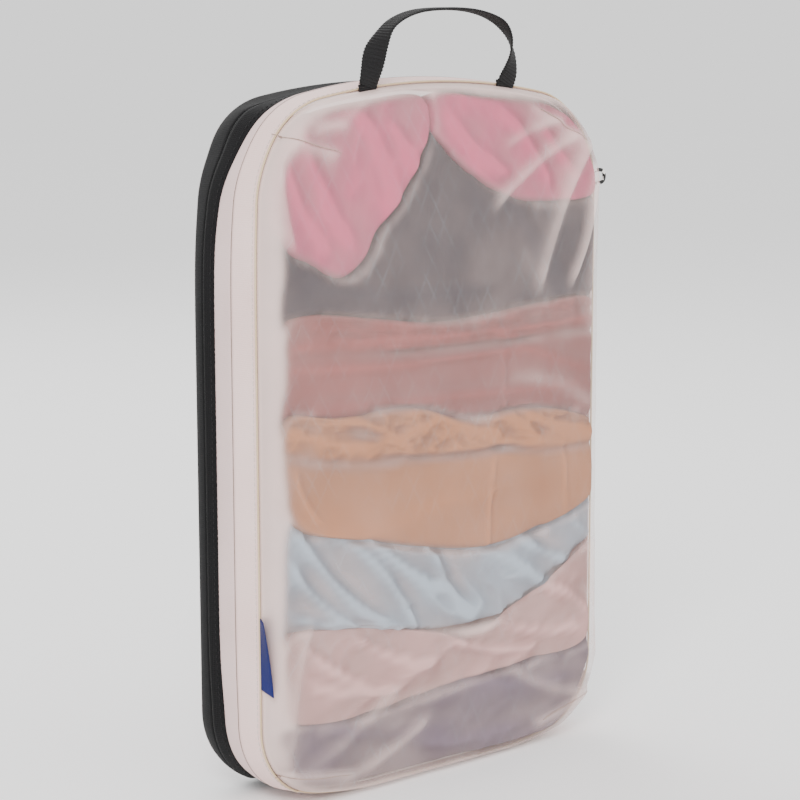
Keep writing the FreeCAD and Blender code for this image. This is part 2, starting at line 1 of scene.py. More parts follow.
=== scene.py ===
"""Looks of a soft compression packing cube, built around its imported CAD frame."""

import logging
import math
from dataclasses import dataclass, field
from enum import Enum
from typing import Any, Sequence

import bpy
import numpy as np
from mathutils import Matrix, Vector, noise
from mathutils.bvhtree import BVHTree


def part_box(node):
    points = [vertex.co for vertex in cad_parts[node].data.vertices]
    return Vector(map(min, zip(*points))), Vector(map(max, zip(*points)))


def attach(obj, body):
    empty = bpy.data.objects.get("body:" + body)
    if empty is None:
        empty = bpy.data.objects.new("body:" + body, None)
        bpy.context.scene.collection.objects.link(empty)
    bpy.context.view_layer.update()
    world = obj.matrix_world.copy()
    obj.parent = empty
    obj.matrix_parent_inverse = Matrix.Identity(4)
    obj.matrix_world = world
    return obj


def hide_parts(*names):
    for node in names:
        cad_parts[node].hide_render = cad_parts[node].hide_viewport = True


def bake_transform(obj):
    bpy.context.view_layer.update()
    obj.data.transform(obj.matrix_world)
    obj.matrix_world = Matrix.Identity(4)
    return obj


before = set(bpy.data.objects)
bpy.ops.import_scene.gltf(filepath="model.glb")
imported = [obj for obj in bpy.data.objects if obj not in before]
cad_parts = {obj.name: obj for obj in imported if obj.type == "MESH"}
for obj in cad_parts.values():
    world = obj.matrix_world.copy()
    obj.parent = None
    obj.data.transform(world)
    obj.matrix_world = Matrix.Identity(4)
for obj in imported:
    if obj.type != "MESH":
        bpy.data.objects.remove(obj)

LOG = logging.getLogger("packing_cube")
MM = 0.001
Array = np.ndarray
Point = tuple[float, float]

# ---------------------------------------------------------------- mesh helpers


def mesh_object(name: str, verts: Array, faces: Sequence[Sequence[int]], uvs: Array | None = None) -> bpy.types.Object:
    """Makes a smooth-shaded object.

    Args:
        name: the piece's name.
        verts: points in metres, one row each.
        faces: vertex numbers of each face.
        uvs: optional pattern coordinates in metres, one row per vertex.

    Returns:
        The new object, linked to the scene.
    """
    mesh = bpy.data.meshes.new(name)
    mesh.from_pydata(verts.tolist(), [], [list(face) for face in faces])
    if uvs is not None:
        layer = mesh.uv_layers.new(name="weave")
        corners = np.array([loop.vertex_index for loop in mesh.loops])
        layer.data.foreach_set("uv", np.asarray(uvs, float)[corners].ravel())
    mesh.polygons.foreach_set("use_smooth", [True] * len(mesh.polygons))
    mesh.validate()
    obj = bpy.data.objects.new(name, mesh)
    bpy.context.scene.collection.objects.link(obj)
    return obj


def grid_faces(rows: int, columns: int, wrap_rows: bool = False, wrap_columns: bool = False) -> list[tuple[int, ...]]:
    """Quads of a grid of points, joined at its ends where asked.

    Args:
        rows, columns: points each way.
        wrap_rows: True where the last row meets the first.
        wrap_columns: True where the last column meets the first.

    Returns:
        The vertex numbers of each face.
    """
    faces = []
    for i in range(rows if wrap_rows else rows - 1):
        for j in range(columns if wrap_columns else columns - 1):
            a, b = i, (i + 1) % rows
            c, d = j, (j + 1) % columns
            faces.append((a * columns + c, b * columns + c, b * columns + d, a * columns + d))
    return faces


def smoothstep(t: Array | float) -> Array | float:
    """Eases from 0 to 1 over t from 0 to 1."""
    t = np.clip(t, 0.0, 1.0)
    return t * t * (3.0 - 2.0 * t)


def cloth_noise(x: Array, y: Array, z: Array, size_mm: float, octaves: int = 3) -> Array:
    """Smooth noise from -1 to 1 at each point.

    Args:
        x, y, z: coordinates in metres.
        size_mm: length of one lump.
        octaves: layers of finer detail.

    Returns:
        One value per point.
    """
    scale = 1.0 / (size_mm * MM)
    spots = zip(x.ravel() * scale, y.ravel() * scale, z.ravel() * scale)
    values = [noise.fractal(Vector(spot), 1.0, 2.0, octaves) for spot in spots]
    return np.array(values).reshape(x.shape)


def subdivide(obj: bpy.types.Object, levels: int = 1) -> bpy.types.Object:
    """Gives a piece a subdivision surface.

    Args:
        obj: the piece.
        levels: how many times its faces are split.

    Returns:
        The same piece.
    """
    modifier = obj.modifiers.new("smooth", "SUBSURF")
    modifier.levels = modifier.render_levels = levels
    return obj


def join_meshes(name: str, parts: Sequence[tuple[Array, list]], uvs: Sequence[Array] | None = None) -> bpy.types.Object:
    """Joins meshes into one object.

    Args:
        name: the joined piece's name.
        parts: (points, faces) pairs.
        uvs: optional pattern coordinates of each part.

    Returns:
        The new object.
    """
    offset = 0
    faces = []
    for verts, part_faces in parts:
        faces.extend(tuple(v + offset for v in face) for face in part_faces)
        offset += len(verts)
    joined_uvs = None if uvs is None else np.vstack(uvs)
    return mesh_object(name, np.vstack([verts for verts, _ in parts]), faces, joined_uvs)


def tube(path: Array, radius: Array | float, sides: int = 8, closed: bool = False, up: Array | None = None,
         flat: float = 1.0) -> tuple[Array, list]:
    """A round or oval tube along a path.

    Args:
        path: points in metres.
        radius: radius in metres, one or one per point.
        sides: points round the tube.
        closed: True for a path that ends where it starts.
        up: direction kept to one side of the tube.
        flat: height of the section as a share of its width.

    Returns:
        Points and faces.
    """
    path = np.asarray(path, float)
    along = np.roll(path, -1, 0) - np.roll(path, 1, 0)
    if not closed:
        along[0] = path[1] - path[0]
        along[-1] = path[-1] - path[-2]
    along /= np.linalg.norm(along, axis=1)[:, None]
    up = np.array((0.13, 0.97, 0.2)) if up is None else np.asarray(up, float)
    side = np.cross(along, up)
    side /= np.linalg.norm(side, axis=1)[:, None]
    rise = np.cross(side, along)
    turns = np.linspace(0, 2 * math.pi, sides, endpoint=False)
    radii = np.broadcast_to(radius, (len(path),))[:, None, None]
    ring = side[:, None] * np.cos(turns)[None, :, None] + rise[:, None] * np.sin(turns)[None, :, None] * flat
    verts = (path[:, None] + ring * radii).reshape(-1, 3)
    faces = grid_faces(len(path), sides, wrap_rows=closed, wrap_columns=True)
    if not closed:
        faces.append(tuple(range(sides)))
        faces.append(tuple(range(len(verts) - 1, len(verts) - sides - 1, -1)))
    return verts, faces


def mesh_parts(piece: bpy.types.Object) -> tuple[Array, list]:
    """A piece's points and faces."""
    verts = np.array([vert.co[:] for vert in piece.data.vertices])
    return verts, [tuple(face.vertices) for face in piece.data.polygons]


class Facing:
    """Measures how far back surfaces lie, seen from the front."""

    def __init__(self, surfaces: Sequence[tuple[Array, list]]) -> None:
        """Collects the surfaces.

        Args:
            surfaces: (points, faces) pairs.
        """
        verts: list[list[float]] = []
        faces: list[tuple[int, ...]] = []
        for points, quads in surfaces:
            first = len(verts)
            verts.extend(points.tolist())
            faces.extend(tuple(v + first for v in quad) for quad in quads)
        self.tree = BVHTree.FromPolygons(verts, faces) if verts else None

    def depth(self, x: Array, z: Array, start: Array | float, missing: float) -> Array:
        """Looks along +Y for the first surface behind each point.

        Args:
            x, z: where to look.
            start: Y to look from.
            missing: the value where nothing is hit.

        Returns:
            Y of each surface.
        """
        starts = np.broadcast_to(start, x.shape)
        found = np.full(x.shape, missing)
        if self.tree is None:
            return found
        for spot in np.ndindex(x.shape):
            hit = self.tree.ray_cast(Vector((x[spot], starts[spot], z[spot])), Vector((0.0, 1.0, 0.0)))[0]
            if hit is not None:
                found[spot] = hit.y
        return found


# ---------------------------------------------------------------- the outline


@dataclass
class Outline:
    """The cube's outline in the XZ plane: a crowned, round-cornered rectangle."""

    half: float
    height: float
    top_radius: float = 53 * MM
    bottom_radius: float = 41 * MM
    crown_radius: float = 430 * MM
    flank_radius: float = 200 * MM
    rest_half: float = 45 * MM

    def __post_init__(self) -> None:
        """Works out the arcs' centres and the run of each segment."""
        tx = self.half - self.top_radius
        bx = self.half - self.bottom_radius
        crown_z = self.height - self.crown_radius
        tz = crown_z + math.sqrt((self.crown_radius - self.top_radius) ** 2 - tx**2)
        side = bx - self.rest_half
        bz = self.flank_radius - math.sqrt((self.flank_radius - self.bottom_radius) ** 2 - side**2)
        top = math.atan2(tz - crown_z, tx)
        low = math.atan2(bz - self.flank_radius, side)
        right = math.pi
        self.top_centre = (tx, tz)
        self.bottom_centre = (bx, bz)
        self.arcs = [
            (self.rest_half, self.flank_radius, self.flank_radius, -right / 2, low),
            (bx, bz, self.bottom_radius, low, 0.0),
            (self.half, bz, self.half, tz),
            (tx, tz, self.top_radius, 0.0, top),
            (0.0, crown_z, self.crown_radius, top, right - top),
            (-tx, tz, self.top_radius, right - top, right),
            (-self.half, tz, -self.half, bz),
            (-bx, bz, self.bottom_radius, right, right - low),
            (-self.rest_half, self.flank_radius, self.flank_radius, right - low, 1.5 * right),
        ]
        runs = [self.rest_half]
        for arc in self.arcs:
            runs.append(abs(arc[3] - arc[1]) if len(arc) == 4 else arc[2] * (arc[4] - arc[3]))
        runs.append(self.rest_half)
        self.marks = np.concatenate(([0.0], np.cumsum(runs)))
        self.length = float(self.marks[-1])

    def at(self, run: Array) -> tuple[Array, Array, Array, Array]:
        """Position and outward normal at each run along the outline.

        Args:
            run: metres, counter-clockwise from the middle of the bottom.

        Returns:
            x, z, normal x, normal z.
        """
        run = np.asarray(run, float) % self.length
        x, z = np.zeros_like(run), np.zeros_like(run)
        nx, nz = np.zeros_like(run), -np.ones_like(run)
        piece = np.clip(np.searchsorted(self.marks, run, side="right") - 1, 0, len(self.marks) - 2)
        into = run - self.marks[piece]
        x = np.where(piece == 0, into, x)
        x = np.where(piece == len(self.arcs) + 1, into - self.rest_half, x)
        for number, arc in enumerate(self.arcs, start=1):
            here = piece == number
            if len(arc) == 4:
                upward = 1.0 if arc[3] > arc[1] else -1.0
                x, z = np.where(here, arc[0], x), np.where(here, arc[1] + upward * into, z)
                nx, nz = np.where(here, upward, nx), np.where(here, 0.0, nz)
            else:
                turn = arc[3] + into / arc[2]
                x = np.where(here, arc[0] + arc[2] * np.cos(turn), x)
                z = np.where(here, arc[1] + arc[2] * np.sin(turn), z)
                nx, nz = np.where(here, np.cos(turn), nx), np.where(here, np.sin(turn), nz)
        return x, z, nx, nz

    def anchors(self) -> Array:
        """Runs of the side middles and corner middles, from the bottom middle."""
        m = self.marks
        corners = [(m[2] + m[3]) / 2, (m[4] + m[5]) / 2, (m[6] + m[7]) / 2, (m[8] + m[9]) / 2]
        sides = [0.0, (m[3] + m[4]) / 2, self.length / 2, (m[7] + m[8]) / 2]
        mixed = [value for pair in zip(sides, corners) for value in pair]
        return np.array(mixed + [self.length])


class Corner(Enum):
    """Where the main zip's teeth start and end on the hinge side."""

    TOP = "top"
    BOTTOM = "bottom"


@dataclass
class Cube:
    """Sizes that every piece shares, read from the frame."""

    outline: Outline = field(init=False)
    front_seam: float = field(init=False)
    main_slit: float = field(init=False)
    middle_seam: float = field(init=False)
    press_slit: float = field(init=False)
    back_seam: float = field(init=False)
    slit_gap: float = 0.6 * MM
    slit_open: float = 0.5 * MM
    # How far the side bulges between its seams.
    swell: float = 2.2 * MM
    # Where and how far the left upper corner is drawn in.
    draw_level: float = 333 * MM
    draw_in: float = 1.8 * MM
    draw_in_back: float = 2.2 * MM
    draw_in_right: float = 1.2 * MM
    # How far, and about which levels, the left corners pull the middle seam forward.
    pull_forward: float = 12.0 * MM
    high_corner: float = 351 * MM
    low_corner: float = 36 * MM
    low_share: float = 0.34

    def __post_init__(self) -> None:
        """Reads the stations along Y from the zip tapes."""
        low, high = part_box("main_tape_back")
        self.outline = Outline(half=high[0], height=high[2])
        self.main_slit = low[1] - self.slit_gap / 2
        self.middle_seam = high[1]
        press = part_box("compression_tape_back")
        self.press_slit = press[0][1] - self.slit_gap / 2
        self.back_seam = press[1][1]
        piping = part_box("front_piping")
        self.front_seam = (piping[0][1] + piping[1][1]) / 2

    def zip_end(self, corner: Corner) -> float:
        """Run along the outline where the main zip's teeth end.

        Args:
            corner: the right corner to look at.

        Returns:
            Metres along the outline.
        """
        low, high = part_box("hinge_spine")
        if corner is Corner.TOP:
            z = self.outline.top_centre[1]
            turn = math.asin((high[2] - z) / self.outline.top_radius)
            return float(self.outline.marks[4] + turn * self.outline.top_radius)
        z = self.outline.bottom_centre[1]
        turn = math.asin((z - low[2]) / self.outline.bottom_radius)
        return float(self.outline.marks[3] - turn * self.outline.bottom_radius)

    def skin(self, y: Array, x: Array, z: Array, nz: Array) -> tuple[Array, Array]:
        """How the stuffed side strays from the plain outline.

        Args:
            y: stations along Y.
            x, z: the outline's points.
            nz: how much it faces up there, from -1 to 1.

        Returns:
            Metres outwards, and the shifted stations.
        """
        front = np.clip((y - self.front_seam) / (self.middle_seam - self.front_seam), 0.0, 1.0)
        back = np.clip((y - self.middle_seam) / (self.back_seam - self.middle_seam), 0.0, 1.0)
        # The black side is slack along the top, and full where it turns the corner.
        slack = smoothstep((nz - 0.80) * 5.0)
        full = np.exp(-(((nz - 0.72) / 0.16) ** 2))
        out = self.swell * (np.sin(np.pi * front) + np.sin(np.pi * back) * (1 - 1.5 * slack + 0.5 * full))
        # The left upper corner is drawn in, most of all at the back.
        spread = np.where(z < self.draw_level, 36 * MM, 17 * MM)
        drawn = np.exp(-(((z - self.draw_level) / spread) ** 2)) * (x < 0)
        out = out - drawn * (self.draw_in + self.draw_in_back * smoothstep(back * 1.2))
        # The front seam on the right is drawn in by the stuffed crown.
        out = out - self.draw_in_right * (1 - front) * smoothstep((x - 80 * MM) / (30 * MM))
        # Both left corners pull the middle seam forward.
        low = self.low_share * np.exp(-(((z - self.low_corner) / (30 * MM)) ** 2))
        high = np.exp(-((np.minimum(z - self.high_corner, 0) / (38 * MM)) ** 2))
        high = high * smoothstep((-18 * MM - x) / (66 * MM))
        shifted = y - self.pull_forward * np.where(x < 0, high + low, 0.0) * np.minimum(front**1.5, 1 - back)
        return out * smoothstep((nz + 0.995) * 9.0), shifted


# ---------------------------------------------------------------- finishes


def linear(hex_colour: str) -> tuple[float, float, float, float]:
    """Turns an sRGB hex colour into linear RGBA.

    Args:
        hex_colour: a hash and six digits.

    Returns:
        Red, green, blue and an alpha of 1.
    """
    parts = [int(hex_colour[i : i + 2], 16) / 255 for i in (1, 3, 5)]
    bent = [c / 12.92 if c <= 0.04045 else ((c + 0.055) / 1.055) ** 2.4 for c in parts]
    return (bent[0], bent[1], bent[2], 1.0)


def add(tree: bpy.types.NodeTree, kind: str, inputs: dict[Any, Any] | None = None, **settings: Any) -> bpy.types.Node:
    """Adds a node with its settings and links.

    Args:
        tree: the material's node tree.
        kind: the node's type.
        inputs: a value, or another node's output, for each input.
        settings: the node's own properties.

    Returns:
        The new node.
    """
    node = tree.nodes.new(kind)
    for key, value in settings.items():
        setattr(node, key, value)
    for key, value in (inputs or {}).items():
        if isinstance(value, bpy.types.NodeSocket):
            tree.links.new(value, node.inputs[key])
        else:
            node.inputs[key].default_value = value
    return node


def wave_scale(period_mm: float) -> float:
    """Scale of a band texture whose bands repeat at this distance."""
    return math.pi / 10 / (period_mm * MM)


def start_material(name: str) -> tuple[bpy.types.Material, bpy.types.NodeTree, bpy.types.Node]:
    """Makes a material whose Principled shader is wired to the output.

    Args:
        name: the material's name.

    Returns:
        The material, its node tree and the shader.
    """
    material = bpy.data.materials.new(name)
    material.use_nodes = True
    tree = material.node_tree
    tree.nodes.clear()
    shader = add(tree, "ShaderNodeBsdfPrincipled")
    add(tree, "ShaderNodeOutputMaterial", {"Surface": shader.outputs[0]})
    return material, tree, shader


class Weave(Enum):
    """How a cloth's threads cross."""

    TAPE = "tape"
    SATIN = "satin"
    JERSEY = "jersey"


@dataclass(frozen=True)
class Cloth:
    """Woven or knitted cloth: a thread pattern in colour and bump, soft fading, and, where asked, painted shade in the
    creases.
    """

    name: str
    colour: str
    # shade is the darker thread tone, and for cloth that paints crease shade it is also the painted shade colour.
    shade: str
    weave: Weave
    thread_mm: float
    bump: float = 0.3
    roughness: float = 0.85
    sheen: float = 0.02
    specular: float = 0.5
    contrast: float = 0.35
    blotch_mm: float = 40.0
    # True to paint shade into the creases, read from the garment's ridge attribute.
    paints_crease_shade: bool = False

    def build(self) -> bpy.types.Material:
        """Makes the material."""
        material, tree, shader = start_material(self.name)
        place = add(tree, "ShaderNodeTexCoord").outputs["Object" if self.weave is Weave.JERSEY else "UV"]
        if self.weave is Weave.JERSEY:
            # Knit columns run up the cloth; the front lies in the XZ plane.
            across = add(tree, "ShaderNodeTexWave", {"Vector": place, "Scale": wave_scale(self.thread_mm),
                         "Distortion": 1.5, "Detail": 1.0, "Detail Scale": 2.0}, bands_direction="X")
            along = add(tree, "ShaderNodeTexWave", {"Vector": place, "Scale": wave_scale(self.thread_mm * 0.8),
                        "Distortion": 1.5, "Detail": 1.0, "Detail Scale": 2.0}, bands_direction="Z")
        else:
            along = add(tree, "ShaderNodeTexWave", {"Vector": place, "Scale": wave_scale(self.thread_mm)},
                        bands_direction="X")
            across = add(tree, "ShaderNodeTexWave", {"Vector": place, "Scale": wave_scale(self.thread_mm * 0.9)},
                         bands_direction="DIAGONAL" if self.weave is Weave.SATIN else "Y")
        threads = add(tree, "ShaderNodeMath", {0: along.outputs["Fac"], 1: across.outputs["Fac"]},
                      operation="MULTIPLY")
        blotch = add(tree, "ShaderNodeTexNoise", {"Vector": place, "Scale": 1 / (self.blotch_mm * MM), "Detail": 3.0})
        mixed = add(tree, "ShaderNodeMath", {0: threads.outputs[0], 1: self.contrast, 2: blotch.outputs["Fac"]},
                    operation="MULTIPLY_ADD")
        ramp = add(tree, "ShaderNodeMapRange", {"Value": mixed.outputs[0], "From Min": 0.25, "From Max": 0.95})
        factor = ramp.outputs[0]
        if self.paints_crease_shade:
            # Painted shade: creases, which gather less light than the ridges pressed to the panel, take the shade
            # colour.
            crease = add(tree, "ShaderNodeAttribute", attribute_name="ridge")
            factor = add(tree, "ShaderNodeMath", {0: factor, 1: 0.25, 2: crease.outputs["Fac"]},
                         operation="MULTIPLY_ADD", use_clamp=True).outputs[0]
        colour = add(tree, "ShaderNodeMix", {"Factor": factor, 6: linear(self.shade),
                     7: linear(self.colour)}, data_type="RGBA")
        bump = add(tree, "ShaderNodeBump", {"Height": threads.outputs[0], "Strength": self.bump,
                   "Distance": self.thread_mm * MM * 0.4})
        tree.links.new(colour.outputs[2], shader.inputs["Base Color"])
        tree.links.new(bump.outputs[0], shader.inputs["Normal"])
        shader.inputs["Roughness"].default_value = self.roughness
        shader.inputs["Sheen Weight"].default_value = self.sheen
        shader.inputs["Specular IOR Level"].default_value = self.specular
        shader.inputs["Sheen Roughness"].default_value = 0.5
        return material


@dataclass(frozen=True)
class CoatedRipstop:
    """Sheer nylon with a milky coating and a faint diamond grid of heavier threads.

    Cloth that lies against it shows clearly, and fades into the milk as it falls back.
    """

    name: str = "coated_ripstop_nylon"
    colour: str = "#f6dad3"
    thread_colour: str = "#f6f0ef"
    clear: float = 0.09
    milky: float = 0.72
    grid_mm: float = 8.5
    grid_tilt: float = 62.0

    def build(self) -> bpy.types.Material:
        """Makes the material."""
        material, tree, shader = start_material(self.name)
        place = add(tree, "ShaderNodeTexCoord").outputs["Object"]
        lines = []
        for side in (-1.0, 1.0):
            # Heavier threads lean either way from upright and cross in long diamonds.
            turned = add(tree, "ShaderNodeMapping", {"Vector": place,
                         "Rotation": (0.0, math.radians(side * (90 - self.grid_tilt)), 0.0)})
            band = add(tree, "ShaderNodeTexWave", {"Vector": turned.outputs[0],
                       "Scale": wave_scale(self.grid_mm), "Distortion": 0.5, "Detail": 2.0,
                       "Detail Scale": 1.5}, bands_direction="X")
            lines.append(add(tree, "ShaderNodeMath", {0: band.outputs["Fac"], 1: 60.0}, operation="POWER"))
        crossed = add(tree, "ShaderNodeMath", {0: lines[0].outputs[0], 1: lines[1].outputs[0]}, operation="MAXIMUM")
        # The threads catch the light in some places and vanish in others.
        patch = add(tree, "ShaderNodeTexNoise", {"Vector": place, "Scale": 60.0, "Detail": 2.0})
        glint = add(tree, "ShaderNodeMapRange", {"Value": patch.outputs["Fac"], "From Min": 0.40, "From Max": 0.62})
        near = add(tree, "ShaderNodeAttribute", attribute_name="nearness")
        seen = add(tree, "ShaderNodeMath", {0: glint.outputs[0], 1: near.outputs["Fac"]}, operation="MULTIPLY")
        grid = add(tree, "ShaderNodeMath", {0: crossed.outputs[0], 1: seen.outputs[0]}, operation="MULTIPLY")
        cloud = add(tree, "ShaderNodeTexNoise", {"Vector": place, "Scale": 26.0, "Detail": 5.0, "Roughness": 0.6})
        fine = add(tree, "ShaderNodeTexNoise", {"Vector": place, "Scale": 1500.0, "Detail": 2.0})
        veil = add(tree, "ShaderNodeMapRange", {"Value": near.outputs["Fac"], "To Min": self.milky,
                   "To Max": self.clear})
        cloudy = add(tree, "ShaderNodeMath", {0: cloud.outputs["Fac"], 1: 0.14, 2: -0.07}, operation="MULTIPLY_ADD")
        veiled = add(tree, "ShaderNodeMath", {0: cloudy.outputs[0], 1: veil.outputs[0]}, operation="ADD")
        speckled = add(tree, "ShaderNodeMath", {0: fine.outputs["Fac"], 1: 0.01, 2: veiled.outputs[0]},
                       operation="MULTIPLY_ADD")
        alpha = add(tree, "ShaderNodeMath", {0: grid.outputs[0], 1: 0.022, 2: speckled.outputs[0]},
                    operation="MULTIPLY_ADD", use_clamp=True)
        colour = add(tree, "ShaderNodeMix", {"Factor": grid.outputs[0], 6: linear(self.colour),
                     7: linear(self.thread_colour)}, data_type="RGBA")
        relief = add(tree, "ShaderNodeMath", {0: fine.outputs["Fac"], 1: 0.08, 2: grid.outputs[0]},
                     operation="MULTIPLY_ADD")
        bump = add(tree, "ShaderNodeBump", {"Height": relief.outputs[0], "Strength": 0.025, "Distance": 0.0004})
        tree.links.new(colour.outputs[2], shader.inputs["Base Color"])
        tree.links.new(alpha.outputs[0], shader.inputs["Alpha"])
        tree.links.new(bump.outputs[0], shader.inputs["Normal"])
        shader.inputs["Roughness"].default_value = 0.36
        shader.inputs["Specular IOR Level"].default_value = 0.32
        shader.inputs["Sheen Weight"].default_value = 0.1
        return material


def set_nearness(panel: bpy.types.Object, gap: Array, raised: Array) -> None:
    """Notes on a panel how close the clothes lie behind it.

    Args:
        panel: a sheet of cloth, one point per entry of the arrays.
        gap: metres to the clothes behind each point.
        raised: metres that folds stand off the stretched cloth; the panel is made milkier there, a painted highlight on
            the fold ridges.
    """
    near = np.exp(-((np.clip(gap - 0.8 * MM, 0, 0.1) / (10 * MM)) ** 2))
    # Painted highlight: fold ridges are made milkier, and so whiter, beyond what their gap to the clothes gives.
    near = near * np.exp(-0.6 * (np.clip(raised, 0, 0.1) / (2.4 * MM)) ** 2)
    for _ in range(4):
        # Light that spreads in the coating softens every edge.
        padded = np.pad(near, 1, mode="edge")
        near = (padded[:-2, 1:-1] + padded[2:, 1:-1] + padded[1:-1, :-2] + padded[1:-1, 2:] + 2 * near) / 6
    layer = panel.data.attributes.new("nearness", "FLOAT", "POINT")
    layer.data.foreach_set("value", near.ravel())


@dataclass(frozen=True)
class Moulded:
    """Nylon monofilament or paint: one colour, slightly uneven, with a soft gloss."""

    name: str
    colour: str
    shade: str
    roughness: float = 0.4
    metallic: float = 0.0
    grain_mm: float = 1.5

    def build(self) -> bpy.types.Material:
        """Makes the material."""
        material, tree, shader = start_material(self.name)
        place = add(tree, "ShaderNodeTexCoord").outputs["Object"]
        grain = add(tree, "ShaderNodeTexNoise", {"Vector": place, "Scale": 1 / (self.grain_mm * MM), "Detail": 3.0})
        colour = add(tree, "ShaderNodeMix", {"Factor": grain.outputs["Fac"], 6: linear(self.shade),
                     7: linear(self.colour)}, data_type="RGBA")
        rough = add(tree, "ShaderNodeMapRange", {"Value": grain.outputs["Fac"], "To Min": self.roughness - 0.08,
                    "To Max": self.roughness + 0.12})
        tree.links.new(colour.outputs[2], shader.inputs["Base Color"])
        tree.links.new(rough.outputs[0], shader.inputs["Roughness"])
        shader.inputs["Metallic"].default_value = self.metallic
        return material


@dataclass(frozen=True)
class SpeckledBraid:
    """Braided polyester cord, black with white flecks where the carriers cross."""

    name: str = "speckled_braided_cord"
    dark: str = "#161616"
    light: str = "#e8e6e2"
    fleck_mm: float = 1.4

    def build(self) -> bpy.types.Material:
        """Makes the material."""
        material, tree, shader = start_material(self.name)
        place = add(tree, "ShaderNodeTexCoord").outputs["Object"]
        fleck = add(tree, "ShaderNodeTexVoronoi", {"Vector": place, "Scale": 1 / (self.fleck_mm * MM)})
        value = add(tree, "ShaderNodeSeparateColor", {"Color": fleck.outputs["Color"]})
        pick = add(tree, "ShaderNodeMath", {0: value.outputs[0], 1: 0.66}, operation="GREATER_THAN")
        colour = add(tree, "ShaderNodeMix", {"Factor": pick.outputs[0], 6: linear(self.dark),
                     7: linear(self.light)}, data_type="RGBA")
        bump = add(tree, "ShaderNodeBump", {"Height": fleck.outputs["Distance"], "Strength": 0.6,
                   "Distance": 0.0003})
        tree.links.new(colour.outputs[2], shader.inputs["Base Color"])
        tree.links.new(bump.outputs[0], shader.inputs["Normal"])
        shader.inputs["Roughness"].default_value = 0.7
        return material


# Polyester zip tape, woven and dyed: matt, with fine crossing ribs.
IVORY_TAPE = Cloth("ivory_zip_tape", "#f5d8d3", "#e8c8c2", Weave.TAPE, 1.1, bump=0.25)
GREY_IVORY_TAPE = Cloth("ivory_zip_tape_back", "#e4cbc8", "#d6bab6", Weave.TAPE, 1.1, bump=0.25)
BLACK_TAPE = Cloth("black_zip_tape", "#0b0a0c", "#050506", Weave.TAPE, 1.1, bump=0.5, sheen=0.02, specular=0.25)
# Folded cotton-blend piping: a thin tan line in the front seam.
PIPING = Cloth("tan_piping", "#dcc6a6", "#c9af88", Weave.TAPE, 1.2, bump=0.4)
BINDING = Cloth("seam_binding", "#e4dbd8", "#cfc4c1", Weave.TAPE, 1.4)
# Polypropylene webbing: black, with a dull shine on each rib.
WEBBING = Cloth("black_ribbed_webbing", "#0c0b0c", "#060506", Weave.TAPE, 1.0, bump=0.5, roughness=0.7, specular=0.3)
# Damask woven tag: dense satin threads, deep blue.
TAG = Cloth("blue_woven_tag", "#0f1c66", "#091148", Weave.SATIN, 0.9, bump=0.3, roughness=0.7, specular=0.2)
THREAD = Moulded("ivory_sewing_thread", "#e9dfdb", "#d5c9c4", roughness=0.6)
# The dart seams are real; their dark taupe thread also paints the shade line along each pinched dart fold.
DART_THREAD_AND_SHADE = Moulded("dart_thread_painted_shade", "#b59c90", "#8d7468", roughness=0.7)
BLACK_THREAD = Moulded("black_sewing_thread", "#141315", "#0d0c0e", roughness=0.8)
# Nylon coil: smooth monofilament that shows as a fine dotted line in the slit.
TAN_COIL = Moulded("tan_nylon_coil", "#6f4f2c", "#4a331b", roughness=0.35)
BLACK_COIL = Moulded("black_nylon_coil", "#050505", "#020202", roughness=0.5)
# Die-cast zinc under black paint: smooth, with a soft highlight on its edges.
PAINTED_ZINC = Moulded("black_painted_zinc", "#19191a", "#0f0f10", roughness=0.38, grain_mm=4.0)
CRIMPED_METAL = Moulded("crimped_aluminium", "#c9c9c9", "#a9a9a9", roughness=0.35, metallic=1.0)

# ---------------------------------------------------------------- zips and seams


@dataclass
class Band:
    """A strip of cloth that follows the outline between two stations along Y."""

    cube: Cube
    name: str
    y_low: float
    y_high: float
    out: float = 0.0
    thick: float = 0.7 * MM
    lip_at: float | None = None
    fray: float = 0.0
    start: float | None = None
    stop: float | None = None
    step: float = 2.4 * MM
    strands: int = 10

    def runs(self) -> tuple[Array, bool]:
        """Runs along the outline, and whether the band closes on itself."""
        length = self.cube.outline.length
        closed = self.start is None
        first = 0.0 if closed else self.start
        last = length if closed else self.stop
        if last < first:
            last += length
        count = max(8, int((last - first) / self.step))
        return np.linspace(first, last, count, endpoint=not closed), closed

    def build(self) -> bpy.types.Object:
        """Makes the strip, closed in section, with pattern coordinates along and across."""
        runs, closed = self.runs()
        x, z, nx, nz = self.cube.outline.at(runs)
        across = np.linspace(self.y_low, self.y_high, self.strands)
        edge = min(0.35 * MM, self.thick * 0.45)
        y_face = np.tile(across, (len(runs), 1))
        if self.fray:
            wobble = cloth_noise(runs, runs * 0, runs * 0, 1.4, 2) * self.fray
            y_face[:, 0] += wobble
        # A side that faces the floor stays flat on it.
        stands = smoothstep((nz + 0.995) * 9.0)[:, None]
        out, shifted = self.cube.skin(y_face, x[:, None], z[:, None], nz[:, None])
        face = self.out + out
        if self.lip_at is not None:
            face = face + 0.25 * MM * np.exp(-(((y_face - self.lip_at) / (1.6 * MM)) ** 2)) * stands
        face[:, 0] -= edge * 0.6
        face[:, -1] -= edge * 0.6
        back = face[:, ::-1] - self.thick + 0.6 * edge
        outs = np.hstack((face, back))
        ys = np.hstack((shifted, shifted[:, ::-1]))
        verts = np.stack((x[:, None] + nx[:, None] * outs, ys, z[:, None] + nz[:, None] * outs), -1)
        columns = outs.shape[1]
        faces = grid_faces(len(runs), columns, wrap_rows=closed, wrap_columns=True)
        if not closed:
            faces.append(tuple(range(columns)))
            faces.append(tuple(range(len(runs) * columns - 1, (len(runs) - 1) * columns - 1, -1)))
        uvs = np.stack((np.repeat(runs, columns), ys.ravel()), -1)
        return mesh_object(self.name, verts.reshape(-1, 3), faces, uvs)


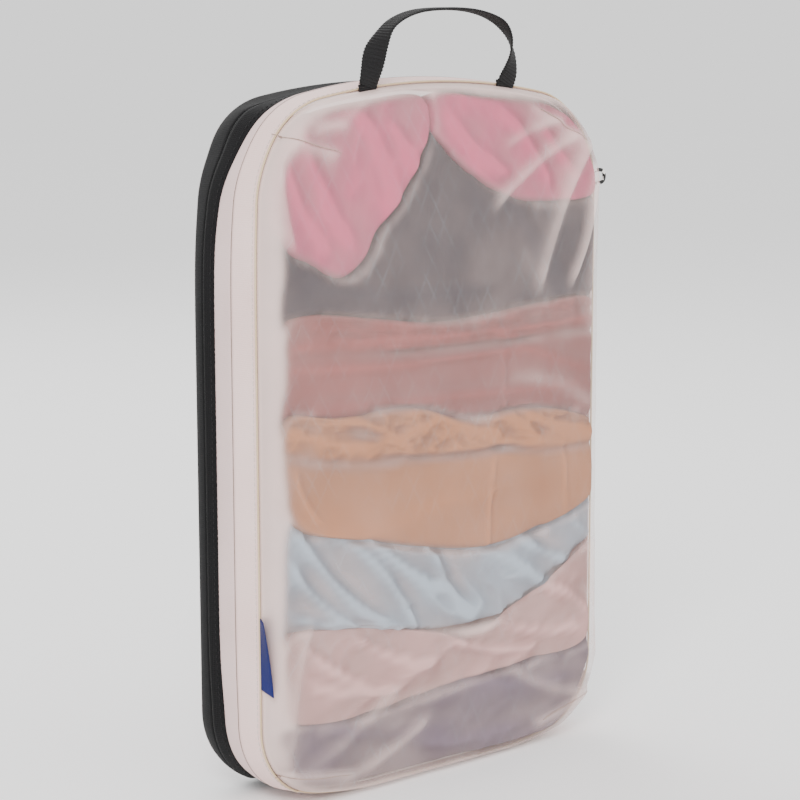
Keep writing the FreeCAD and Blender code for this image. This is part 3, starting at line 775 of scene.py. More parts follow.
@dataclass
class Teeth:
    """Half of a nylon coil: a row of small bent teeth behind the tape's edge."""

    cube: Cube
    name: str
    slit: float
    side: float
    pitch: float = 1.5 * MM
    start: float | None = None
    stop: float | None = None

    def build(self) -> bpy.types.Object:
        """Makes all teeth of one half as one piece."""
        band = Band(self.cube, self.name, 0, 1, start=self.start, stop=self.stop, step=self.pitch)
        runs, closed = band.runs()
        runs = runs + (0.5 * self.pitch if self.side > 0 else 0.0)
        if not closed:
            runs = runs[:-1]
        x, z, nx, nz = self.cube.outline.at(runs)
        base, middle = self.cube.skin(np.full_like(runs, self.slit), x, z, nz)
        # Reach across the slit, depth below the tape, half width of each section.
        sections = ((-0.35, -0.3, 0.42), (0.1, -0.1, 0.5), (0.5, -0.7, 0.45), (0.9, -1.1, 0.35), (1.7, -1.3, 0.3))
        turns = np.linspace(0, 2 * math.pi, 6, endpoint=False)
        tx, tz = -nz, nx
        rings = []
        for reach, depth, wide in sections:
            for turn in turns:
                along = math.cos(turn) * wide * MM
                deep = depth * MM + math.sin(turn) * 0.3 * MM
                px = x + nx * (base + deep) + tx * along
                pz = z + nz * (base + deep) + tz * along
                py = middle + self.side * reach * MM
                rings.append(np.stack((px, py, pz), -1))
        verts = np.stack(rings, 1)
        one = grid_faces(len(sections), len(turns), wrap_columns=True)
        size = verts.shape[1]
        one += [tuple(range(6)), tuple(range(size - 1, size - 7, -1))]
        faces = [tuple(v + k * size for v in face) for k in range(len(runs)) for face in one]
        return mesh_object(self.name, verts.reshape(-1, 3), faces)


@dataclass
class Stitches:
    """A row of lockstitches along the outline."""

    cube: Cube
    name: str
    y: float
    length: float = 2.3 * MM
    pitch: float = 3.2 * MM
    lift: float = 0.25 * MM
    start: float | None = None
    stop: float | None = None

    def build(self) -> bpy.types.Object:
        """Makes the whole row as one piece."""
        band = Band(self.cube, self.name, 0, 1, start=self.start, stop=self.stop, step=self.pitch)
        runs, _ = band.runs()
        parts = []
        for run in runs[1:-1]:
            along = run + np.linspace(-0.5, 0.5, 4) * self.length
            x, z, nx, nz = self.cube.outline.at(along)
            stands = smoothstep((nz + 0.995) * 9.0)
            rise, place = self.cube.skin(np.full_like(along, self.y), x, z, nz)
            rise = rise + np.array((-0.2, 1.0, 1.0, -0.2)) * self.lift * stands
            path = np.stack((x + nx * rise, place, z + nz * rise), -1)
            parts.append(tube(path, 0.2 * MM, sides=5))
        return join_meshes(self.name, parts)


@dataclass
class Shell:
    """The zips, tapes, seams and panels that make up the bag."""

    cube: Cube
    finishes: dict[str, bpy.types.Material]

    def dress(self, piece: bpy.types.Object, finish: str, body: str, slot: str, *nodes: str) -> bpy.types.Object:
        """Gives a piece its material and its body, and hides the CAD nodes that it stands for.

        Args:
            piece: the piece to dress.
            finish: the material's key.
            body: the body that it rides on.
            slot: not used.
            nodes: the CAD nodes that it stands for.

        Returns:
            The same piece.
        """
        piece.data.materials.clear()
        piece.data.materials.append(self.finishes[finish])
        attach(piece, body)
        if nodes:
            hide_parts(*nodes)
        LOG.info("%s rides on %s", piece.name, body)
        return piece

    def compression_zip(self) -> None:
        """The black zip: both tapes, both half coils and their stitching."""
        cube = self.cube
        gap = cube.slit_open
        back = Band(cube, "black_tape_back", cube.press_slit + gap, cube.back_seam, lip_at=cube.press_slit)
        self.dress(back.build(), "black_tape", "back_shell", "black_tape", "compression_tape_back")
        front = Band(cube, "black_tape_front", cube.middle_seam - 0.5 * MM, cube.press_slit - gap,
                     lip_at=cube.press_slit, fray=0.7 * MM, out=0.3 * MM, step=0.9 * MM)
        self.dress(front.build(), "black_tape", "middle_frame", "black_tape", "compression_tape_front")
        teeth = Teeth(cube, "black_coil_back", cube.press_slit, 1.0)
        self.dress(teeth.build(), "black_coil", "back_shell", "black_coil", "compression_coil_back")
        teeth = Teeth(cube, "black_coil_front", cube.press_slit, -1.0)
        self.dress(teeth.build(), "black_coil", "middle_frame", "black_coil", "compression_coil_front")
        row = Stitches(cube, "black_stitching_front", cube.middle_seam + 1.4 * MM, lift=0.5 * MM)
        self.dress(row.build(), "black_thread", "middle_frame", "black_tape")

    def main_zip(self) -> None:
        """The ivory zip, which runs round the bottom, the left side and the top."""
        cube = self.cube
        gap = cube.slit_gap / 2
        start, stop = cube.zip_end(Corner.TOP), cube.zip_end(Corner.BOTTOM)
        back = Band(cube, "ivory_tape_back", cube.main_slit + gap, cube.middle_seam, lip_at=cube.main_slit)
        self.dress(back.build(), "ivory_tape_back", "middle_frame", "ivory_tape", "main_tape_back")
        front = Band(cube, "ivory_tape_front", cube.front_seam + 0.5 * MM, cube.main_slit - gap,
                     lip_at=cube.main_slit, start=start + gap, stop=stop - gap)
        self.dress(front.build(), "ivory_tape", "lid", "ivory_tape", "main_tape_front")
        teeth = Teeth(cube, "tan_coil_back", cube.main_slit, 1.0, start=start, stop=stop)
        self.dress(teeth.build(), "tan_coil", "middle_frame", "ivory_coil", "main_coil_back")
        teeth = Teeth(cube, "tan_coil_front", cube.main_slit, -1.0, start=start, stop=stop)
        self.dress(teeth.build(), "tan_coil", "lid", "ivory_coil", "main_coil_front")
        spine = Band(cube, "hinge_spine_strip", cube.front_seam + 1.0 * MM, cube.main_slit + gap,
                     start=stop + gap, stop=start - gap)
        self.dress(spine.build(), "ivory_tape", "middle_frame", "ivory_tape", "hinge_spine")
        row = Stitches(cube, "hinge_stitching", cube.main_slit + 1.5 * MM, start=stop, stop=start)
        self.dress(row.build(), "thread", "middle_frame", "ivory_tape")
        row = Stitches(cube, "front_seam_stitching", cube.front_seam + 2.2 * MM, start=start + 2 * MM,
                       stop=stop - 2 * MM)
        self.dress(row.build(), "thread", "lid", "ivory_tape")

    def seams(self) -> None:
        """The tan piping, and the bindings inside."""
        cube = self.cube
        runs = np.linspace(0, cube.outline.length, 480, endpoint=False)
        x, z, nx, nz = cube.outline.at(runs)
        drawn, _ = cube.skin(np.full_like(x, cube.front_seam), x, z, nz)
        lift = np.where(nz < -0.9, -0.55 * MM, 0.15 * MM) + drawn
        path = np.stack((x + nx * lift, np.full_like(x, cube.front_seam), z + nz * lift), -1)
        verts, faces = tube(path, 0.55 * MM, sides=8, closed=True)
        uvs = np.stack((np.repeat(runs, 8), np.tile(np.linspace(0, 3.4 * MM, 8), len(runs))), -1)
        piping = mesh_object("tan_front_piping", verts, faces, uvs)
        self.dress(piping, "piping", "lid", "piping", "front_piping")
        places = {
            "front_seam_binding": ("lid", cube.front_seam + 0.9 * MM),
            "middle_seam_binding": ("middle_frame", cube.middle_seam - 3.2 * MM),
            "back_seam_binding": ("back_shell", cube.back_seam - 3.8 * MM),
        }
        for node, (body, y) in places.items():
            band = Band(cube, node.replace("binding", "bias_tape"), y, y + 3 * MM, out=-2.9 * MM, thick=1.0 * MM,
                        strands=5)
            self.dress(band.build(), "binding", body, "binding", node)

    def gusset(self) -> None:
        """The expansion gusset, built in the small pleats it has at rest; on the real cube they spread flat as it
        grows.
        """
        cube = self.cube
        runs = np.linspace(0, cube.outline.length, 420, endpoint=False)
        x, z, nx, nz = cube.outline.at(runs)
        y_front, y_back = cube.middle_seam + 1.0 * MM, cube.back_seam - 1.0 * MM
        across = np.linspace(0.0, 1.0, 25)
        folds = np.abs((across * 6) % 2 - 1)
        depth = -3.6 * MM - 1.6 * MM * folds
        ripple = cloth_noise(runs, runs * 0 + 0.2, runs * 0, 30.0, 2) * 0.4 * MM
        outs = depth[None, :] + ripple[:, None]
        ys = np.tile(y_front + across * (y_back - y_front), (len(runs), 1))
        verts = np.stack((x[:, None] + nx[:, None] * outs, ys, z[:, None] + nz[:, None] * outs), -1)
        faces = grid_faces(len(runs), len(across), wrap_rows=True)
        uvs = np.stack((np.repeat(runs, len(across)), ys.ravel()), -1)
        piece = mesh_object("expansion_gusset_cloth", verts.reshape(-1, 3), faces, uvs)
        piece.data.materials.append(self.finishes["gusset"])
        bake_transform(piece)
        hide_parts("expansion_gusset")
        LOG.info("%s bends from back_shell to middle_frame", piece.name)

    def stops(self) -> None:
        """Crimped stops where the main zip's teeth end."""
        for node in ("main_top_stop", "main_bottom_stop"):
            low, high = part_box(node)
            middle = (Vector(low) + Vector(high)) / 2
            spread = np.linspace(-1.0, 1.0, 7)
            path = np.stack((middle.x + 0.8 * MM * spread**2, middle.y + 1.2 * MM * spread,
                             np.full(7, middle.z)), -1)
            parts = [tube(path + np.array((0, 0, dz * MM)), 0.5 * MM, 8) for dz in (-0.8, 0.0, 0.8)]
            self.dress(join_meshes(node + "_crimp", parts), "crimp", "middle_frame", "metal", node)


# ---------------------------------------------------------------- pillow shapes


def square_map(columns: int, rows: int) -> tuple[Array, Array]:
    """Lays a grid's points on a pillow shape.

    Args:
        columns, rows: points each way.

    Returns:
        How near the rim each point is, 1 at the rim, and its place round it, 0 to 8.
    """
    u, v = np.meshgrid(np.linspace(-1, 1, columns), np.linspace(-1, 1, rows))
    q = np.maximum(np.abs(u), np.abs(v))
    safe = np.maximum(q, 1e-9)
    place = np.where(v <= -q, u / safe, 0.0)
    place = np.where((u >= q) & (v > -q), 2 + v / safe, place)
    place = np.where((v >= q) & (u < q), 4 - u / safe, place)
    place = np.where((u <= -q) & (v < q) & (v > -q), 6 - v / safe, place)
    return q, place % 8


@dataclass(frozen=True)
class Fold:
    """A crease or ridge in cloth between two points of the XZ plane, in millimetres."""

    start: Point
    end: Point
    width: float
    height: float
    bow: float = 0.0
    sharp: bool = False

    def lift(self, x: Array, z: Array) -> Array:
        """How high the fold lifts the cloth.

        Args:
            x, z: points in metres.

        Returns:
            Metres at each point.
        """
        x0, z0 = self.start
        x1, z1 = self.end
        dx, dz = x1 - x0, z1 - z0
        length = math.hypot(dx, dz)
        px, pz = x / MM - x0, z / MM - z0
        t = (px * dx + pz * dz) / length**2
        off = (px * dz - pz * dx) / length - self.bow * 4 * t * (1 - t)
        reach = smoothstep(t * 4.0 + 0.6) * smoothstep((1 - t) * 4.0 + 0.6)
        profile = np.exp(-((off / self.width) ** 2)) - 0.35 * np.exp(-(((off + 1.6 * self.width) / self.width) ** 2))
        if self.sharp:
            # A pinched fold: one side falls away slowly, the other drops at once.
            profile = np.where(off > 0, np.exp(-off / (2 * self.width)), np.exp(-((2.5 * off / self.width) ** 2)))
        return self.height * MM * profile * reach


@dataclass
class FrontPanel:
    """The sheer front: leaning side strip, stuffed crown, corner darts and soft folds."""

    cube: Cube
    columns: int = 200
    rows: int = 300
    rise: float = 9.8 * MM
    edge: float = 5.6 * MM
    crown: float = 11.0 * MM
    folds: tuple[Fold, ...] = (
        # Corner darts: a sharp pinch from the seam towards the middle.
        Fold((-121, 351), (-78, 338), 2.2, 4.2, 1.0, True),
        Fold((-104, 356), (-70, 350), 3.0, 1.6, 1.0),
        Fold((-121, 22), (-70, 15), 2.2, 4.0, -1.0, True),
        Fold((-112, 14), (-86, 8), 2.4, 2.2, 0.0, True),
        Fold((60, 357), (102, 336), 2.6, 3.0, -1.0, True),
        Fold((66, 15), (108, 25.5), 2.6, 3.0, 1.0, True),
        # Soft folds that fan out of the top right corner.
        Fold((106, 336), (60, 262), 3.6, 3.4, 4.0, True),
        Fold((110, 322), (86, 262), 3.0, 3.0, -3.0),
        Fold((96, 342), (28, 306), 3.6, 2.6, 4.0),
        Fold((112, 306), (104, 232), 3.2, 2.4, 2.0, True),
        Fold((84, 350), (40, 338), 3.0, 2.0, 2.0),
        # Folds along the top left, and tension from the lower corners.
        Fold((-112, 342), (-106, 292), 3.0, 2.2, 2.0),
        Fold((-100, 346), (-56, 362), 3.4, 1.8, 2.0),
        Fold((-110, 34), (-98, 100), 3.4, 2.0, -3.0),
        Fold((-66, 14), (-20, 34), 3.4, 2.0, 2.0),
        Fold((-96, 24), (-40, 60), 4.0, 1.5, 3.0),
        Fold((110, 44), (104, 118), 3.6, 2.4, 3.0, True),
        Fold((100, 26), (40, 52), 4.2, 1.8, -3.0),
        Fold((-80, 60), (20, 48), 6.0, 1.0, 4.0),
        Fold((110, 190), (40, 214), 5.0, 1.2, 4.0),
    )

    def surface(self, folded: bool) -> tuple[Array, list]:
        """The sheet's mesh.

        Args:
            folded: False for the cloth as it would lie without its folds.

        Returns:
            Points and faces.
        """
        q, place = square_map(self.columns, self.rows)
        anchors = self.cube.outline.anchors()
        runs = np.interp(place, np.arange(9), anchors)
        x, z, nx, nz = self.cube.outline.at(runs)
        middle = self.cube.outline.height / 2
        drawn, _ = self.cube.skin(np.full_like(x, self.cube.front_seam), x, z, nz)
        inset = 0.7 * MM - drawn
        rim_x, rim_z = x - nx * inset, z - nz * inset
        px, pz = rim_x * q, middle + (rim_z - middle) * q
        depth = (1 - q) * (rim_x * nx + (rim_z - middle) * nz)
        t = np.clip(depth / (self.edge * (1 + 0.95 * np.clip(nx, 0, 1))), 0, 1)
        height = self.rise * np.sqrt(np.clip(1 - (1 - t) ** 2, 0, 1)) + self.crown * (1 - q**2.2)
        soft = smoothstep(depth / (10 * MM))
        height = height + cloth_noise(px, px * 0, pz, 55.0, 3) * 1.6 * MM * soft
        if folded:
            smooth = height
            for fold in self.folds:
                height = height + fold.lift(px, pz) * smoothstep(depth / (3 * MM))
            height = height + cloth_noise(px, px * 0 + 0.3, pz * 0.6, 14.0, 2) * 0.45 * MM * soft
            # Folds stand off the clothes and never sink into them.
            height = np.maximum(height, smooth - 0.5 * MM)
        verts = np.stack((px, self.cube.front_seam - height, pz), -1).reshape(-1, 3)
        return verts, grid_faces(self.rows, self.columns)

    def build(self) -> bpy.types.Object:
        """Makes the panel as one sheet of cloth."""
        return mesh_object("sheer_front_panel", *self.surface(True))


@dataclass
class Darts:
    """The sewn lines of the corner darts on the front panel, in a dark thread that also paints the shade line of each
    dart fold.
    """

    lines: tuple[tuple[Point, Point], ...] = (
        ((-112.5, 347.4), (-75, 336.6)),
        ((-115, 20.2), (-73, 15.2)),
        ((64, 355.6), (99, 338)),
        ((70, 15.6), (106, 25.0)),
    )

    def build(self, panel: Facing) -> bpy.types.Object:
        """Makes each line as a thin puckered thread.

        Args:
            panel: the front panel, which the lines lie on.

        Returns:
            All lines as one piece.
        """
        parts = []
        for start, end in self.lines:
            share = np.linspace(0, 1, 60)
            x = (start[0] + (end[0] - start[0]) * share) * MM
            z = (start[1] + (end[1] - start[1]) * share) * MM + 0.3 * MM * np.sin(share * 9)
            y = panel.depth(x, z, -0.2, -0.03) - 0.05 * MM
            thin = 0.28 * MM * (0.35 + 0.65 * np.sqrt(1 - share * 0.98)) * (1 + 0.25 * np.sin(share * 170))
            parts.append(tube(np.stack((x, y, z), -1), thin, 6))
        return join_meshes("corner_dart_seams", parts)


@dataclass
class BackPanel:
    """The sheer back, crowned by what is packed in the bag."""

    cube: Cube
    columns: int = 110
    rows: int = 170
    edge: float = 5.0 * MM
    rise: float = 4.2 * MM
    crown: float = 4.4 * MM

    def build(self) -> bpy.types.Object:
        """Makes the panel as one sheet of cloth."""
        q, place = square_map(self.columns, self.rows)
        runs = np.interp(place, np.arange(9), self.cube.outline.anchors())
        x, z, nx, nz = self.cube.outline.at(runs)
        middle = self.cube.outline.height / 2
        drawn, _ = self.cube.skin(np.full_like(x, self.cube.back_seam), x, z, nz)
        px, pz = (x + nx * drawn) * q, middle + (z + nz * drawn - middle) * q
        depth = (1 - q) * (x * nx + (z - middle) * nz)
        t = np.clip(depth / self.edge, 0, 1)
        height = self.rise * np.sqrt(np.clip(1 - (1 - t) ** 2, 0, 1)) + self.crown * (1 - q**2.2)
        lumps = cloth_noise(px, px * 0 + 0.7, pz, 60.0, 3) * 1.3 * MM
        wrinkle = cloth_noise(px, px * 0 + 0.9, pz * 0.7, 16.0, 2) * 0.35 * MM
        height = height + (lumps + wrinkle) * smoothstep(depth / (12 * MM))
        verts = np.stack((px, self.cube.back_seam + height, pz), -1).reshape(-1, 3)
        return mesh_object("sheer_back_panel", verts, grid_faces(self.rows, self.columns))


# ---------------------------------------------------------------- clothes


def closed_curve(points: Sequence[Point], count: int = 400) -> Array:
    """Smooth closed curve through points.

    Args:
        points: X and Z of each, in millimetres.
        count: points on the curve.

    Returns:
        X and Z of each point, in metres.
    """
    corners = np.array(points, float) * MM
    dense = []
    total = len(corners)
    for i in range(total):
        p0, p1, p2, p3 = (corners[(i + k) % total] for k in (-1, 0, 1, 2))
        for t in np.linspace(0, 1, 16, endpoint=False):
            dense.append(0.5 * (2 * p1 + (p2 - p0) * t + (2 * p0 - 5 * p1 + 4 * p2 - p3) * t**2
                                + (3 * p1 - p0 - 3 * p2 + p3) * t**3))
    dense = np.array(dense + [dense[0]])
    runs = np.concatenate(([0.0], np.cumsum(np.linalg.norm(np.diff(dense, axis=0), axis=1))))
    even = np.linspace(0, runs[-1], count, endpoint=False)
    return np.stack((np.interp(even, runs, dense[:, 0]), np.interp(even, runs, dense[:, 1])), -1)


@dataclass
class Garment:
    """A folded garment: a crumpled, closed slab with a drawn outline."""

    name: str
    outline: tuple[Point, ...]
    slack: float
    back: float
    crumple: float = 1.5
    crumple_mm: float = 28.0
    folds: tuple[Fold, ...] = ()
    seed: float = 0.0
    gather: tuple[float, float, float] | None = None
    grain: float = 20.0
    stretch: float = 2.0
    step_mm: float = 2.0
    round_mm: float = 4.5
    side_limit: float = 116.2 * MM
    taper: float = 0.93
    pile_low: float = 14 * MM
    pile_high: float = 357 * MM

    def build(self, cover: Facing, over: Facing) -> bpy.types.Object:
        """Makes the slab: a front and a back sheet that meet in a rolled edge.

        Args:
            cover: the front panel, which flattens every fold that reaches it.
            over: the garments that lie in front of this one.

        Returns:
            The garment, not yet smoothed.
        """
        rim = closed_curve(self.outline)
        rim[:, 0] = np.minimum(rim[:, 0], self.side_limit)
        low, high = rim.min(0), rim.max(0)
        columns = int((high[0] - low[0]) / (self.step_mm * MM)) | 1
        rows = int((high[1] - low[1]) / (self.step_mm * MM)) | 1
        columns, rows = max(columns, 15), max(rows, 15)
        q, place = square_map(columns, rows)
        start = int(np.argmin(np.abs(rim[:, 0] - rim[:, 0].mean()) + (rim[:, 1] - low[1]) * 3))
        rim = np.roll(rim, -start, 0)
        signed = np.sum(rim[:, 0] * np.roll(rim[:, 1], -1) - np.roll(rim[:, 0], -1) * rim[:, 1])
        if signed < 0:
            rim = np.roll(rim[::-1], 1, 0)
        spot = place / 8 * len(rim)
        looped = np.vstack((rim, rim[:1]))
        index = np.arange(len(looped))
        x = np.interp(spot, index, looped[:, 0])
        z = np.interp(spot, index, looped[:, 1])
        cx, cz = rim.mean(0)
        px, pz = cx + (x - cx) * q, cz + (z - cz) * q
        depth = (1 - q) * np.hypot(x - cx, z - cz) * 0.9
        t = np.clip(depth / (self.round_mm * MM), 0, 1)
        puff = np.sqrt(np.clip(1 - (1 - t) ** 2, 0, 1))
        # The clothes press into the right side, so their rolled edge lies flat there.
        side = smoothstep((px / MM - 111.0) / 5.0)
        against = cover.depth(px, pz, -0.2, -0.03) + 0.9 * MM
        # A garment underneath gives way, but stays close behind the panel.
        under = np.minimum(over.depth(px, pz, -0.2, -1.0) + 2.0 * MM, against + 5.0 * MM)
        against = np.maximum(against, under)
        back = self.back * MM
        turn = math.radians(self.grain)
        run, rise = px * math.cos(turn) + pz * math.sin(turn), pz * math.cos(turn) - px * math.sin(turn)
        crumple = cloth_noise(run / self.stretch, px * 0 + self.seed, rise, self.crumple_mm, 4) * self.crumple * MM
        sharp = np.abs(cloth_noise(run / self.stretch, px * 0 + self.seed + 3.1, rise, self.crumple_mm * 1.4, 3))
        lift = crumple + (0.35 - 2.2 * np.sqrt(sharp * 0.5)) * self.crumple * MM
        for fold in self.folds:
            lift = lift + fold.lift(px, pz)
        if self.gather:
            low, high, tall = self.gather
            band = smoothstep((pz / MM - low) / 5.0) * smoothstep((high - pz / MM) / 5.0 + 0.4)
            pleat = np.abs(cloth_noise(px * 0.45, px * 0 + self.seed, pz, 9.0, 3))
            lift = lift + band * (0.6 - 2.6 * np.sqrt(pleat * 0.5)) * tall * MM
        room = (self.slack * MM - lift) * (1 - side) - 1.5 * MM * side
        pressed = 0.5 * (room + np.sqrt(room**2 + (0.7 * MM) ** 2))
        middle = (against + back) / 2
        y_front = middle + (against + pressed - middle) * np.maximum(puff, side)
        y_back = middle + (back - middle + crumple * 0.5) * puff
        # Painted shade mask: 1 where the front lies on the panel, falling in the creases behind it; the knit material
        # darkens the cloth as it falls.
        ridge = np.exp(-np.clip(y_front - against, 0, 0.05) / (3.2 * MM))
        inner = (q < 1 - 1e-9).ravel()
        front = np.stack((px, y_front, pz), -1).reshape(-1, 3)
        # The pile is narrower at the back, clear of the gusset when that is drawn out.
        back_z = np.clip(pz, self.pile_low, self.pile_high)
        behind = np.stack((px * self.taper, y_back, back_z), -1).reshape(-1, 3)
        number = np.arange(rows * columns)
        twin = np.where(inner, rows * columns + np.cumsum(inner) - 1, number)
        faces = grid_faces(rows, columns)
        faces += [tuple(int(twin[v]) for v in face[::-1]) for face in faces]
        verts = np.vstack((front, behind[inner]))
        piece = mesh_object(self.name, verts, faces)
        # The back sheet is set to 0.7, a fixed share of painted shade.
        layer = piece.data.attributes.new("ridge", "FLOAT", "POINT")
        layer.data.foreach_set("value", np.concatenate((ridge.ravel(), ridge.ravel()[inner] * 0 + 0.7)))
        return piece


class Clothes:
    """The folded clothes that fill the bag and tint the sheer panels."""

    pieces: tuple[tuple[str, str, Garment], ...] = (
        ("pink", "pink_jersey", Garment(
            "pink_top_left_lobe",
            ((-100, 346), (-84, 357), (-48, 363.5), (-14, 365.5), (-9, 352), (-18, 332), (-32, 312), (-50, 296),
             (-60, 280), (-74, 272), (-92, 280), (-108, 290), (-113, 320)),
            1.2, -12.0, 2.4, 34.0,
            (Fold((-96, 350), (-70, 290), 5.0, 3.5, 4.0), Fold((-60, 356), (-40, 306), 5.0, 3.2, -4.0),
             Fold((-106, 330), (-84, 288), 4.0, 2.8, 3.0), Fold((-40, 350), (-22, 325), 4.0, 2.8)), 0.4, grain=65.0)),
        ("", "pink_jersey", Garment(
            "pink_top_right_lobe",
            ((-14, 350), (0, 334), (24, 316), (50, 306), (88, 304), (115, 308), (113.5, 327), (109, 338),
             (101, 347), (82, 358), (60, 361.5), (34, 363.5), (-8, 365.5)),
            1.2, -14.0, 2.4, 30.0,
            (Fold((0, 352), (40, 322), 4.0, 3.2, 3.0), Fold((40, 354), (72, 316), 4.0, 3.4, -3.0),
             Fold((70, 346), (96, 318), 4.0, 3.0, 2.0)), 7.2, grain=-50.0)),
        ("peach", "peach_jersey", Garment(
            "peach_folded_shirt",
            ((-104, 148), (-60, 136), (-20, 126), (20, 120), (60, 124), (115, 138), (116.8, 165), (116.8, 182),
             (60, 196), (10, 196), (-30, 206), (-80, 205), (-110, 206), (-113, 175)),
            1.0, 19.0, 0.7, 36.0,
            (Fold((-108, 200), (-60, 188), 2.6, 4.6, 3.0), Fold((-80, 204), (-34, 184), 2.4, 4.4, -3.0),
             Fold((-56, 188), (0, 202), 2.6, 4.2, 2.0), Fold((-20, 204), (30, 184), 2.4, 4.4, 3.0),
             Fold((20, 200), (60, 178), 2.8, 4.0, -3.0), Fold((50, 194), (112, 176), 2.8, 4.4, 3.0),
             Fold((-108, 186), (-40, 178), 2.2, -4.0, 3.0), Fold((-50, 180), (40, 176), 2.0, -4.4, 2.0),
             Fold((30, 176), (112, 168), 2.0, -4.0, 2.0), Fold((-104, 178), (-92, 152), 2.0, 2.0, 2.0),
             Fold((26, 172), (22, 124), 1.5, 2.6, 1.5), Fold((84, 172), (86, 132), 1.8, 1.8)), 3.1,
            gather=(177.0, 204.0, 3.0), grain=4.0, stretch=4.0)),
        ("rose", "rose_jersey", Garment(
            "rose_folded_shirt",
            ((-111, 190), (-60, 186), (0, 184), (60, 181), (116.8, 180), (116.8, 215), (116.8, 250), (60, 253),
             (20, 250), (-20, 250), (-70, 256), (-108, 256), (-113, 225)),
            1.4, 21.6, 1.2, 40.0,
            (Fold((-104, 243), (112, 240), 1.8, 3.0, 1.5), Fold((-106, 236), (110, 233), 1.6, -3.4, 1.0),
             Fold((-104, 229), (60, 229), 1.8, 2.0, 1.0), Fold((-104, 208), (95, 203), 3.0, 1.6, -2.0),
             Fold((34, 230), (36, 186), 1.4, 1.4), Fold((20, 244), (104, 212), 3.0, 1.6, 3.0)), 2.2,
            gather=(234.0, 254.0, 1.6), grain=4.0, stretch=5.0)),
        ("pale", "pale_jersey", Garment(
            "pale_rumpled_shirt",
            ((-108, 46), (-60, 42), (0, 46), (60, 50), (111, 54), (116.8, 80), (116.8, 112), (86, 98), (50, 78),
             (10, 78), (-40, 88), (-80, 94), (-110, 92), (-113, 66)),
            2.0, 18.6, 2.6, 26.0,
            (Fold((-100, 88), (-60, 60), 3.0, 4.2, 3.0), Fold((-66, 86), (-16, 64), 3.0, 3.6, 3.0),
             Fold((-96, 66), (-40, 54), 2.8, 3.0, 2.0), Fold((0, 74), (60, 60), 3.0, 3.0, 3.0),
             Fold((40, 76), (100, 66), 3.0, 3.8, 3.0), Fold((70, 92), (110, 72), 3.4, 4.2, -3.0)), 5.5, grain=25.0)),
        ("blue", "blue_jersey", Garment(
            "blue_crumpled_shirt",
            ((-110, 84), (-60, 78), (-12, 78), (40, 80), (111, 88), (116.8, 110), (116.8, 140), (60, 128), (20, 128),
             (-30, 140), (-80, 150), (-110, 156), (-114, 118)),
            2.4, 21.6, 3.0, 28.0,
            (Fold((-104, 148), (-50, 92), 3.2, 5.0, 5.0), Fold((-84, 146), (-30, 90), 3.0, 4.6, -5.0),
             Fold((-106, 128), (-64, 88), 2.8, 4.4, 3.0), Fold((-60, 140), (-8, 104), 3.4, 4.4, 4.0),
             Fold((-106, 104), (-40, 86), 2.8, 3.8, 2.0), Fold((-20, 132), (10, 88), 3.4, 4.0, 3.0),
             Fold((10, 124), (70, 92), 3.4, 3.6, -4.0), Fold((50, 124), (110, 98), 3.4, 4.0, 3.0)), 4.7, grain=-35.0)),
        ("mauve", "mauve_jersey", Garment(
            "mauve_folded_shirt",
            ((-102, 13), (-60, 4), (20, 2.5), (74, 3.6), (92, 7.5), (106, 17), (113.5, 30), (116.8, 50),
             (116.8, 80), (70, 68), (20, 64), (-20, 60), (-60, 50), (-112, 48), (-114, 32)),
            2.6, 21.2, 2.4, 34.0,
            (Fold((-80, 40), (0, 26), 5.0, 2.4, 4.0), Fold((10, 52), (96, 36), 5.0, 2.8, 4.0),
             Fold((-20, 20), (60, 16), 4.0, 2.0, 3.0)), 6.6, grain=12.0)),
        ("grey", "grey_jersey", Garment(
            "grey_folded_shirt",
            ((-110, 246), (-60, 243), (0, 243), (60, 245), (116.8, 250), (116.8, 290), (115, 322), (98, 346), (50, 358),
             (0, 361), (-50, 358), (-92, 346), (-110, 318), (-113, 280)),
            1.0, 20.0, 1.6, 40.0,
            (Fold((-90, 270), (20, 262), 4.0, 1.6, 3.0), Fold((30, 330), (80, 262), 6.0, 2.6, 4.0)), 1.3, grain=70.0)),
        ("", "pink_jersey", Garment(
            "pink_back_layer",
            ((-100, 310), (-50, 300), (0, 304), (50, 300), (94, 312), (94, 340), (60, 354), (0, 360), (-60, 356),
             (-94, 344)),
            34.0, 22.0, 1.6, 34.0, (), 8.4)),
    )

    @classmethod
    def build(cls, shell: "Shell", cover: Facing) -> list[tuple[Array, list]]:
        """Makes and dresses every garment, front ones first.

        Args:
            shell: the bag that the clothes fill.
            cover: the front panel without its folds.

        Returns:
            Each garment's points and faces.
        """
        made = []
        for node, finish, garment in cls.pieces:
            piece = garment.build(cover, Facing(made))
            made.append(mesh_parts(piece))
            nodes = ("garment_" + node,) if node else ()
            slot = finish.replace("_jersey", "_knit")
            shell.dress(piece, finish, "back_shell", slot, *nodes)
            subdivide(piece)
        return made


# ---------------------------------------------------------------- handle, tag, pulls


